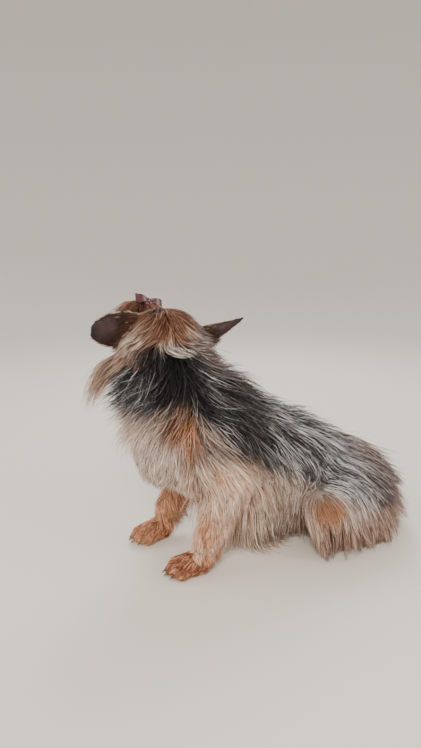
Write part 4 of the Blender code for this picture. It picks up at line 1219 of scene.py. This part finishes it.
def ear_material():
    """Thin ear leather: dark purple-brown, darker to the rim, with a faint skin sheen."""
    material, tree, shader = new_material("ear_leather", Roughness=0.6, Specular_IOR_Level=0.3)
    uv = add_node(tree, "ShaderNodeUVMap", uv_map="UVMap")
    split = add_node(tree, "ShaderNodeSeparateXYZ", {"Vector": uv.outputs["UV"]})
    from_middle = add_node(
        tree, "ShaderNodeMath", {0: split.outputs["X"], 1: 0.5}, operation="SUBTRACT"
    )
    to_edge = add_node(tree, "ShaderNodeMath", {0: from_middle.outputs[0]}, operation="ABSOLUTE")
    edge = add_node(
        tree,
        "ShaderNodeMapRange",
        {"Value": to_edge.outputs[0], "From Min": 0.34, "From Max": 0.49},
        interpolation_type="SMOOTHSTEP",
    )
    tip = add_node(
        tree,
        "ShaderNodeMapRange",
        {"Value": split.outputs["Y"], "From Min": 0.80, "From Max": 0.98},
        interpolation_type="SMOOTHSTEP",
    )
    rim = add_node(
        tree, "ShaderNodeMath", {0: edge.outputs[0], 1: tip.outputs[0]}, operation="MAXIMUM"
    )
    place = add_node(tree, "ShaderNodeTexCoord")
    mottle = add_node(
        tree, "ShaderNodeTexNoise", {"Vector": place.outputs["Object"], "Scale": 140.0, "Detail": 4.0}
    )
    leather = add_node(tree, "ShaderNodeValToRGB", {"Fac": mottle.outputs["Fac"]})
    leather.color_ramp.elements[0].position = 0.35
    leather.color_ramp.elements[0].color = linear("#2a1b1d")
    leather.color_ramp.elements[1].position = 0.70
    leather.color_ramp.elements[1].color = linear("#3d2a2b")
    shade = add_node(
        tree,
        "ShaderNodeMix",
        {"Factor": rim.outputs[0], 6: leather.outputs["Color"], 7: linear("#171114")},
        data_type="RGBA",
    )
    tree.links.new(shade.outputs[2], shader.inputs["Base Color"])
    grain = add_node(
        tree, "ShaderNodeTexNoise", {"Vector": place.outputs["Object"], "Scale": 1500.0, "Detail": 2.0}
    )
    bump = add_node(
        tree, "ShaderNodeBump", {"Height": grain.outputs["Fac"], "Strength": 0.4, "Distance": 0.25 * MM}
    )
    tree.links.new(bump.outputs["Normal"], shader.inputs["Normal"])
    return material


def add_eye(side_name, sign, material):
    """An eyeball whose pole is its pupil, with the clear front standing a little proud."""
    deselect()
    bpy.ops.mesh.primitive_uv_sphere_add(segments=40, ring_count=28, radius=EYE_RADIUS - 0.2 * MM)
    eye = bpy.context.object
    eye.name = "eye_" + side_name + "_ball"
    for vertex in eye.data.vertices:
        front = max(0.0, vertex.co.z / EYE_RADIUS - 0.78) / 0.22
        vertex.co.z += 0.5 * MM * front * front
    eye.data.transform(looking(mirrored(EYE_PLACE, sign), eye_direction(sign)))
    eye.data.transform(head_frame())
    return finish_piece(eye, material, "dark_eye", "eye_" + side_name)


def eye_material():
    """Glass eye, as taxidermists set: near-black pupil, dark brown iris with fine rays, wet gloss."""
    material, tree, shader = new_material("glass_eye", Roughness=0.04, Specular_IOR_Level=0.35)
    uv = add_node(tree, "ShaderNodeUVMap", uv_map="UVMap")
    stretch = add_node(
        tree, "ShaderNodeMapping", {"Vector": uv.outputs["UV"], "Scale": (60, 3, 1)}
    )
    rays = add_node(
        tree, "ShaderNodeTexNoise", {"Vector": stretch.outputs["Vector"], "Scale": 1.0, "Detail": 3.0}
    )
    iris = add_node(tree, "ShaderNodeValToRGB", {"Fac": rays.outputs["Fac"]})
    iris.color_ramp.elements[0].position = 0.35
    iris.color_ramp.elements[0].color = linear("#1f0f08")
    iris.color_ramp.elements[1].position = 0.75
    iris.color_ramp.elements[1].color = linear("#5a3016")
    split = add_node(tree, "ShaderNodeSeparateXYZ", {"Vector": uv.outputs["UV"]})
    rings = add_node(tree, "ShaderNodeValToRGB", {"Fac": split.outputs["Y"]})
    ramp = rings.color_ramp
    ramp.elements[0].position = 0.745
    ramp.elements[0].color = (0, 0, 0, 1)
    ramp.elements[1].position = 0.765
    ramp.elements[1].color = (1, 1, 1, 1)
    for position, value in ((0.878, 1.0), (0.892, 0.0)):
        ramp.elements.new(position).color = (value, value, value, 1)
    shade = add_node(
        tree,
        "ShaderNodeMix",
        {"Factor": rings.outputs["Color"], 6: linear("#080506"), 7: iris.outputs["Color"]},
        data_type="RGBA",
    )
    tree.links.new(shade.outputs[2], shader.inputs["Base Color"])
    return material


def add_nose(material):
    """The nose leather: rounded lumps melted together, with two comma nostrils and a groove."""
    parts = []
    lumps = (
        ((0, 0, 0), (0.0085, 0.0065, 0.0062)),
        ((0, 0.002, 0.002), (0.0070, 0.0060, 0.0055)),
        ((0.0046, 0.0010, -0.0012), (0.0044, 0.0048, 0.0042)),
        ((-0.0046, 0.0010, -0.0012), (0.0044, 0.0048, 0.0042)),
    )
    for place, radii in lumps:
        deselect()
        bpy.ops.mesh.primitive_uv_sphere_add(segments=32, ring_count=20, radius=1)
        lump = bpy.context.object
        lump.data.transform(Matrix.Translation(NOSE_PLACE + Vector(place)) @ Matrix.Diagonal((*radii, 1)))
        parts.append(lump)
    nose = join(parts, "nose_leather_pad")
    apply_modifier(nose, "REMESH", mode="VOXEL", voxel_size=0.35 * MM)
    apply_modifier(nose, "SMOOTH", factor=0.5, iterations=4)
    for vertex in nose.data.vertices:
        spot = vertex.co - NOSE_PLACE
        side = abs(spot.x) - 0.0042
        slot = math.hypot(side / 1.5, (spot.z + 0.0004 + 0.5 * side) / 0.9)
        dimple = max(0.0, 1 - slot / 0.0018) * (1 if spot.y < -0.001 else 0)
        groove = max(0.0, 1 - abs(spot.x) / 0.0006) * (1 if spot.y < 0 and spot.z < 0.001 else 0)
        vertex.co.y += 2.6 * MM * min(1, 1.4 * dimple) + 0.5 * MM * groove
    nose.data.transform(head_frame())
    return finish_piece(nose, material, "nose_leather", "nose")


def nose_material():
    """Nose leather: black, pebbled about half a millimetre across, with painted shade in the furrows between
    the pebbles and a damp shine.
    """
    material, tree, shader = new_material("pebbled_nose_leather", Roughness=0.42, Coat_Weight=0.15)
    shader.inputs["Coat Roughness"].default_value = 0.25
    place = add_node(tree, "ShaderNodeTexCoord")
    pebbles = add_node(
        tree, "ShaderNodeTexVoronoi", {"Vector": place.outputs["Object"], "Scale": 1300.0}
    )
    # Painted shade: each pebble is lighter in its middle and darker in the furrows between pebbles.
    shade = add_node(tree, "ShaderNodeValToRGB", {"Fac": pebbles.outputs["Distance"]})
    shade.color_ramp.elements[0].color = linear("#161112")
    shade.color_ramp.elements[1].color = linear("#0b090a")
    tree.links.new(shade.outputs["Color"], shader.inputs["Base Color"])
    bump = add_node(
        tree,
        "ShaderNodeBump",
        {"Height": pebbles.outputs["Distance"], "Strength": 0.6, "Distance": 0.15 * MM},
        invert=True,
    )
    tree.links.new(bump.outputs["Normal"], shader.inputs["Normal"])
    return material


def build_claw(length, radius):
    """One curved claw at the origin, pointing along -Y and down, tapered to a blunt end."""
    deselect()
    bpy.ops.mesh.primitive_cylinder_add(vertices=10, radius=radius, depth=length)
    claw = bpy.context.object
    bpy.ops.object.mode_set(mode="EDIT")
    bpy.ops.mesh.select_all(action="SELECT")
    bpy.ops.mesh.bisect(plane_co=(0, 0, 0), plane_no=(0, 0, 1))
    for height in (-0.25, 0.25, 0.40):
        bpy.ops.mesh.select_all(action="SELECT")
        bpy.ops.mesh.bisect(plane_co=(0, 0, height * length), plane_no=(0, 0, 1))
    bpy.ops.object.mode_set(mode="OBJECT")
    for vertex in claw.data.vertices:
        share = vertex.co.z / length + 0.5
        thin = 1 - 0.72 * share**1.5
        vertex.co = Vector(
            (
                vertex.co.x * 0.8 * thin,
                -length * 0.92 * share,
                vertex.co.y * thin - length * 0.45 * share * share,
            )
        )
    apply_modifier(claw, "SUBSURF", levels=1, render_levels=1)
    recalculate_normals(claw)
    return claw


def add_claws(material):
    """Four claws on each paw, each set at the end of its toe."""
    pattern = build_claw(0.0075, 0.0017)
    for name, ankle, turn, scale in paw_places():
        copies = []
        set_at = Matrix.Translation(ankle) @ Matrix.Rotation(turn, 4, "Z")
        for toe in toe_places(scale):
            copy = bpy.data.objects.new("claw", pattern.data.copy())
            bpy.context.scene.collection.objects.link(copy)
            tip = toe + Vector((0, -0.0070 * scale, -0.0008))
            spread = Matrix.Rotation(-12 * toe.x, 4, "Z")
            copy.data.transform(set_at @ Matrix.Translation(tip) @ spread)
            copies.append(copy)
        claws = join(copies, "claws_" + name)
        for vertex in claws.data.vertices:
            vertex.co.z = max(vertex.co.z, 0.4 * MM)
        finish_piece(claws, material, "nose_leather")
    bpy.data.objects.remove(pattern)


def paw_places():
    """Each paw's name, ankle, turn and scale."""
    for side_name, sign in SIDES:
        yield "fore_" + side_name, forefoot_joint(FORE_ANKLE, sign), -0.12 * sign, 1.0
        yield "hind_" + side_name, mirrored(HIND_TOES, sign), -0.1 * sign, 0.92


def claw_material():
    """Claw horn: dark brown, paler lengthwise streaks, a dull polish."""
    material, tree, shader = new_material("claw_horn", Roughness=0.38)
    place = add_node(tree, "ShaderNodeTexCoord")
    stretch = add_node(
        tree, "ShaderNodeMapping", {"Vector": place.outputs["Object"], "Scale": (1800, 300, 600)}
    )
    streaks = add_node(
        tree, "ShaderNodeTexNoise", {"Vector": stretch.outputs["Vector"], "Scale": 1.0, "Detail": 2.0}
    )
    shade = add_node(tree, "ShaderNodeValToRGB", {"Fac": streaks.outputs["Fac"]})
    shade.color_ramp.elements[0].color = linear("#1a1412")
    shade.color_ramp.elements[1].color = linear("#5b463a")
    tree.links.new(shade.outputs["Color"], shader.inputs["Base Color"])
    bump = add_node(
        tree, "ShaderNodeBump", {"Height": streaks.outputs["Fac"], "Strength": 0.3, "Distance": 0.1 * MM}
    )
    tree.links.new(bump.outputs["Normal"], shader.inputs["Normal"])
    return material


def add_bow(material):
    """A small satin bow: two open loops, two short tails and a pleated knot, behind the band."""
    parts = []
    for _, sign in SIDES:
        loop = new_grid("loop", 6, 28)
        for vertex in loop.data.vertices:
            side = vertex.co.x
            turn = math.pi * (1.04 + 0.96 * vertex.co.y)
            turn = min(max(turn, 0.10), 2 * math.pi - 0.10)
            out = BOW_REACH * (1 - math.cos(turn)) / 2
            away = BOW_DEPTH * 0.62 * math.sin(turn)
            wide = 0.34 + 0.66 * math.sin(math.pi / 2 * min(1, 1.15 * out / BOW_REACH))
            crease = 0.5 * MM * math.cos(3 * math.pi * side) * max(0, 1 - out / BOW_REACH * 1.4)
            rise = (0.30 * out) * sign + 0.0012 * math.sin(math.pi * out / BOW_REACH)
            vertex.co = BOW_PLACE + Vector(
                (out * sign, away + crease, BOW_WIDTH / 2 * side * wide + rise)
            )
        parts.append(loop)
        tail = new_grid("tail", 4, 8)
        for vertex in tail.data.vertices:
            side = vertex.co.x
            share = (vertex.co.y + 1) / 2
            notch = 0.0022 * (1 - abs(side)) * share
            reach = 0.013 * share - notch
            vertex.co = BOW_PLACE + Vector(
                (
                    sign * (0.0015 + reach * 0.62) + side * 0.0030 * (0.5 + 0.5 * share),
                    0.0028 + 0.0016 * math.sin(5 * share),
                    -reach * 0.75 + side * 0.0012 * sign,
                )
            )
        parts.append(tail)
    ribbon = join(parts, "ribbon")
    apply_modifier(ribbon, "SOLIDIFY", thickness=0.45 * MM, offset=0)
    apply_modifier(ribbon, "SUBSURF", levels=1, render_levels=1)
    deselect()
    bpy.ops.mesh.primitive_uv_sphere_add(segments=24, ring_count=16, radius=1)
    knot = bpy.context.object
    for vertex in knot.data.vertices:
        pleat = 1 + 0.07 * math.cos(9 * math.atan2(vertex.co.x, vertex.co.y * 0.8 + 0.2))
        waist = 1 - 0.18 * vertex.co.z**2
        vertex.co = BOW_PLACE + Vector(
            (vertex.co.x * 0.0031 * pleat * waist, vertex.co.y * 0.0046, vertex.co.z * 0.0042)
        )
    bow = join([ribbon, knot], "ribbon_bow")
    recalculate_normals(bow)
    bow.data.transform(head_frame())
    return finish_piece(bow, material, "rose_satin", "bow")


def satin_material():
    """Rose satin ribbon: a tight weave with long floats, so broad soft highlights over a deep base."""
    material, tree, shader = new_material("rose_satin", Roughness=0.2, Anisotropic=0.5)
    shader.inputs["Sheen Weight"].default_value = 0.2
    shader.inputs["Coat Weight"].default_value = 1.0
    shader.inputs["Coat Roughness"].default_value = 0.08
    uv = add_node(tree, "ShaderNodeUVMap", uv_map="UVMap")
    threads = add_node(
        tree,
        "ShaderNodeTexWave",
        {"Vector": uv.outputs["UV"], "Scale": 12.0, "Distortion": 0.6},
        bands_direction="X",
    )
    cloud = add_node(
        tree, "ShaderNodeTexNoise", {"Vector": uv.outputs["UV"], "Scale": 5.0, "Detail": 3.0}
    )
    shade = add_node(tree, "ShaderNodeValToRGB", {"Fac": cloud.outputs["Fac"]})
    shade.color_ramp.elements[0].position = 0.3
    shade.color_ramp.elements[0].color = linear("#2e0b16")
    shade.color_ramp.elements[1].position = 0.75
    shade.color_ramp.elements[1].color = linear("#611d30")
    tree.links.new(shade.outputs["Color"], shader.inputs["Base Color"])
    bump = add_node(
        tree, "ShaderNodeBump", {"Height": threads.outputs["Fac"], "Strength": 0.15, "Distance": 0.1 * MM}
    )
    tree.links.new(bump.outputs["Normal"], shader.inputs["Normal"])
    return material


def add_band(material):
    """A rubber band wound twice round the gathered hair."""
    parts = []
    for rise, lean in ((-0.0007, 0.10), (0.0008, -0.12)):
        deselect()
        bpy.ops.mesh.primitive_torus_add(
            major_radius=BAND_RADIUS - 0.2 * MM,
            minor_radius=0.85 * MM,
            major_segments=40,
            minor_segments=10,
        )
        turn = bpy.context.object
        turn.data.transform(
            Matrix.Translation(BAND_PLACE + Vector((0, 0, rise))) @ Matrix.Rotation(lean, 4, "X")
        )
        parts.append(turn)
    band = join(parts, "hair_band")
    band.data.transform(head_frame())
    return finish_piece(band, material, "band_rubber", "topknot_band")


def band_material():
    """Moulded rubber: dark, matte, with a dusty bloom."""
    material, tree, shader = new_material("dusty_rubber", Roughness=0.7)
    place = add_node(tree, "ShaderNodeTexCoord")
    dust = add_node(
        tree, "ShaderNodeTexNoise", {"Vector": place.outputs["Object"], "Scale": 800.0, "Detail": 3.0}
    )
    shade = add_node(tree, "ShaderNodeValToRGB", {"Fac": dust.outputs["Fac"]})
    shade.color_ramp.elements[0].color = linear("#2b1a20")
    shade.color_ramp.elements[1].color = linear("#4a3038")
    tree.links.new(shade.outputs["Color"], shader.inputs["Base Color"])
    bump = add_node(
        tree, "ShaderNodeBump", {"Height": dust.outputs["Fac"], "Strength": 0.3, "Distance": 0.1 * MM}
    )
    tree.links.new(bump.outputs["Normal"], shader.inputs["Normal"])
    return material


def curve_paths(controls, steps=9):
    """Smooth paths through each hair's own row of control points."""
    spans = controls.shape[1] - 1
    rows = []
    for index in range(steps + 1):
        at = index / steps * spans
        first = min(int(at), spans - 1)
        t = at - first
        before = controls[:, max(first - 1, 0)]
        start = controls[:, first]
        end = controls[:, first + 1]
        after = controls[:, min(first + 2, spans)]
        rows.append(
            0.5
            * (
                2 * start
                + (end - before) * t
                + (2 * before - 5 * start + 4 * end - after) * t**2
                + (3 * start - before - 3 * end + after) * t**3
            )
        )
    return np.stack(rows, axis=1)


def from_head(points):
    place = np.array(head_frame())
    return points @ place[:3, :3].T + place[:3, 3]


def add_topknot(tree, flat_map, material):
    """Crown hair drawn up through the band, then falling open over the brow and the left side."""
    rng = np.random.default_rng(SEED + 2)
    count = 2300
    angle = rng.random(count) * 2 * math.pi
    reach = 0.008 + 0.017 * np.sqrt(rng.random(count))
    place = head_frame()
    controls = np.empty((count, 6, 3))
    roots = np.empty((count, 3))
    for index in range(count):
        spot = Vector((math.cos(angle[index]) * reach[index] * 1.15, -0.012 + math.sin(angle[index]) * reach[index], 0.07))
        down = place.to_3x3() @ Vector((0, 0, -1))
        hit = tree.ray_cast(place @ spot, down)[0]
        roots[index] = hit if hit else place @ Vector((spot.x, spot.y, 0.025))
    local = to_head(roots)
    round_x, round_y = np.cos(angle), np.sin(angle)
    band = np.array(BAND_PLACE)
    ring = np.column_stack([round_x, round_y, np.zeros(count)])
    thick = (0.0015 + 0.0032 * np.sqrt(rng.random(count)))[:, None]
    controls[:, 0] = local - np.array((0, 0, 0.0010))
    controls[:, 1] = local * 0.45 + (band + ring * 0.006) * 0.55 + np.array((0, 0, 0.0035))
    controls[:, 2] = band + ring * thick
    controls[:, 3] = band + ring * 0.0045 + np.array((0.003, -0.002, 0.0070))
    course = math.radians(-32) + math.radians(30) * rng.normal(size=count)
    fan = np.column_stack([np.cos(course), np.sin(course), np.zeros(count)])
    far = (0.016 + 0.018 * rng.random(count))[:, None]
    controls[:, 4] = band + fan * far * 0.62 + ring * 0.004 + np.array((0, 0, 0.0050)) * rng.random((count, 1))
    controls[:, 5] = band + fan * far * 1.15 + ring * 0.006 + np.column_stack(
        [rng.normal(size=count) * 0.002, rng.normal(size=count) * 0.002, -0.006 - 0.014 * rng.random(count)]
    )
    paths = from_head(curve_paths(controls).reshape(-1, 3)).reshape(count, -1, 3)
    centre = from_head(np.array([(0.0, -0.012, 0.010)]))
    facings = unit((paths - centre).reshape(-1, 3)).reshape(paths.shape)
    tone = np.exp(0.2 * rng.normal(size=(count, 1)))
    pale = (rng.random(count) < 0.22)[:, None]
    base = np.where(pale, np.array(linear(SAND)[:3]), np.array(linear(BROWN)[:3])) * tone
    widths = 0.8 * MM * (0.7 + 0.5 * rng.random(count))
    flat = bake_places(flat_map, roots)
    tints = np.stack([base * 0.7, base * 1.2], axis=1)
    obj = hair_mesh("topknot_hair", paths, facings, widths, tints, flat, LONG_PROFILE)
    return finish_piece(obj, material, "tan_coat", "topknot")


def add_ear_hair(side_name, sign, flat_map, material):
    """A thin pale line of hair along an ear's edges, and brown hair lying over the root of its back. The pale
    line is pale edge hair on the left ear and a painted highlight along the folded edge of the right ear.
    """
    rng = np.random.default_rng(SEED + 20 + sign)
    edge_count, tuft_count = 500, 2300
    tuft_reach = 0.36 if sign > 0 else 0.46
    count = edge_count + tuft_count
    share = np.concatenate([rng.random(edge_count) ** 1.3 * 0.93, rng.random(tuft_count) ** 0.9 * tuft_reach])
    side = np.sign(rng.random(edge_count) - 0.5)
    across = np.concatenate(
        [side * (0.90 + 0.09 * rng.random(edge_count)), rng.random(tuft_count) * 1.9 - 0.95]
    )
    edging = np.arange(count) < edge_count
    step = 0.01
    spot = ear_points(side_name, sign, across, share)
    ahead = unit(ear_points(side_name, sign, across, share + step) - spot)
    beside = unit(ear_points(side_name, sign, across + step, share) - spot)
    normal = unit(np.cross(beside, ahead))
    back = np.array(head_frame().to_3x3() @ Vector((0, 1, 0.1)))
    normal = normal * np.sign(np.sum(normal * back, axis=1, keepdims=True))
    edge = beside * np.sign(across)[:, None]
    draw = 0.55 + 0.7 * rng.random(count)
    length = np.where(edging, 0.004 + 0.010 * (1 - share) ** 2, 0.018 - 0.010 * share) * draw
    jitter = rng.normal(size=(count, 3))
    heading = np.where(
        edging[:, None],
        unit(ahead + edge * 0.22 + normal * 0.06 + jitter * 0.08),
        unit(ahead + edge * 0.10 * share[:, None] + normal * 0.16 + jitter * 0.10),
    )
    root = spot + normal * 0.6 * MM
    below = ease(0.2, 0.9, -np.sign(ear_side(side_name, sign)) * across)
    steps = np.linspace(0, 1, 10)
    run = steps[None, :, None] * length[:, None, None]
    paths = root[:, None] + heading[:, None] * run
    paths = paths - np.array((0, 0, 0.2)) * run * steps[None, :, None]
    facings = np.repeat(normal[:, None], 10, axis=1)
    chance = rng.random((count, 1))
    colours = [np.array(linear(name)[:3]) for name in (CREAM, BROWN, UMBER)]
    # Half the edge hairs are cream: pale edge hair on the left ear, a painted highlight along the right ear's
    # folded edge.
    often = np.where(edging, 0.5, 0.02 + 0.3 * below * (1 - ease(0.10, 0.24, share)))[:, None]
    brown = 0.9 - ease(0.10, 0.30, share)[:, None] * 0.7
    base = np.where(chance < often, colours[0], np.where(chance < brown, colours[1], colours[2]))
    base = base * np.exp(0.2 * rng.normal(size=(count, 1)))
    widths = 0.55 * MM * (0.7 + 0.5 * rng.random(count))
    flat = bake_places(flat_map, root)
    tints = np.stack([base * 0.8, np.minimum(base * 1.1, 0.95)], axis=1)
    name = "ear_hair_" + side_name
    obj = hair_mesh(name, paths, facings, widths, tints, flat, SHORT_PROFILE)
    return finish_piece(obj, material, "dark_coat")


def set_camera():
    data = bpy.data.cameras.new("camera")
    data.lens = LENS_MM
    data.sensor_fit = "AUTO"
    data.sensor_width = 36
    camera = bpy.data.objects.new("camera", data)
    bpy.context.scene.collection.objects.link(camera)
    camera.location = CAMERA_PLACE + ORIGIN_SHIFT
    level = math.cos(CAMERA_PITCH)
    look = Vector(
        (-math.cos(CAMERA_YAW) * level, math.sin(CAMERA_YAW) * level, -math.sin(CAMERA_PITCH))
    )
    camera.rotation_euler = look.to_track_quat("-Z", "Y").to_euler()
    bpy.context.scene.camera = camera


def area_light(name, place, target, size, power, colour):
    data = bpy.data.lights.new(name, "AREA")
    data.shape = "DISK"
    data.size = size
    data.energy = power
    data.color = linear(colour)[:3]
    light = bpy.data.objects.new(name, data)
    bpy.context.scene.collection.objects.link(light)
    light.location = place
    light.rotation_euler = (target - Vector(place)).to_track_quat("-Z", "Y").to_euler()


def build_studio():
    """A pale floor that sweeps up all round without an edge, and soft light from the camera's side."""
    deselect()
    bpy.ops.mesh.primitive_grid_add(x_subdivisions=72, y_subdivisions=72, size=12)
    floor = bpy.context.object
    floor.name = "studio_floor"
    for vertex in floor.data.vertices:
        beyond = math.hypot(vertex.co.x, vertex.co.y) - 1.6
        vertex.co.z = 3.0 * float(ease(0, 3.8, beyond))
    floor.data.shade_smooth()
    material, tree, shader = new_material("pale_paper", Roughness=0.95)
    shader.inputs["Base Color"].default_value = linear("#e6e1db")
    floor.data.materials.append(material)
    middle = Vector((0, 0, 0.12))
    area_light("key", (1.4, -0.9, 1.2), middle, 0.9, 36, "#fff0e0")
    area_light("fill", (1.3, 1.1, 0.7), middle, 1.1, 10, "#f8f3ee")
    area_light("rim", (-0.9, 0.5, 1.2), middle, 0.8, 12, "#ffffff")
    area_light("front", (-0.6, -1.5, 0.8), middle, 1.0, 8, "#f8f3ee")
    world = bpy.data.worlds.new("studio")
    world.use_nodes = True
    world.node_tree.nodes["Background"].inputs["Color"].default_value = linear("#dedad5")
    world.node_tree.nodes["Background"].inputs["Strength"].default_value = 0.95
    bpy.context.scene.world = world


FLESH_NODES = (
    "torso", "neck", "head", "tail",
    "foreleg_left", "foreleg_right", "hindleg_left", "hindleg_right",
    "forepaw_left", "forepaw_right", "hindpaw_left", "hindpaw_right",
)


def main():
    set_camera()
    build_studio()
    masses = all_masses()
    skin = build_skin(masses)
    paint_skin(skin, masses)
    hair = coat_material()
    flat_map = build_coat(skin, masses, hair)
    add_topknot(flat_map[0], flat_map, hair)
    ear_leather, eye_glass = ear_material(), eye_material()
    for side_name, sign in SIDES:
        add_ear(side_name, sign, ear_leather)
        add_ear_hair(side_name, sign, flat_map, hair)
        add_eye(side_name, sign, eye_glass)
    add_nose(nose_material())
    add_claws(claw_material())
    add_bow(satin_material())
    add_band(band_material())
    finish_piece(skin, skin_material(), "tan_coat", *FLESH_NODES)


main()
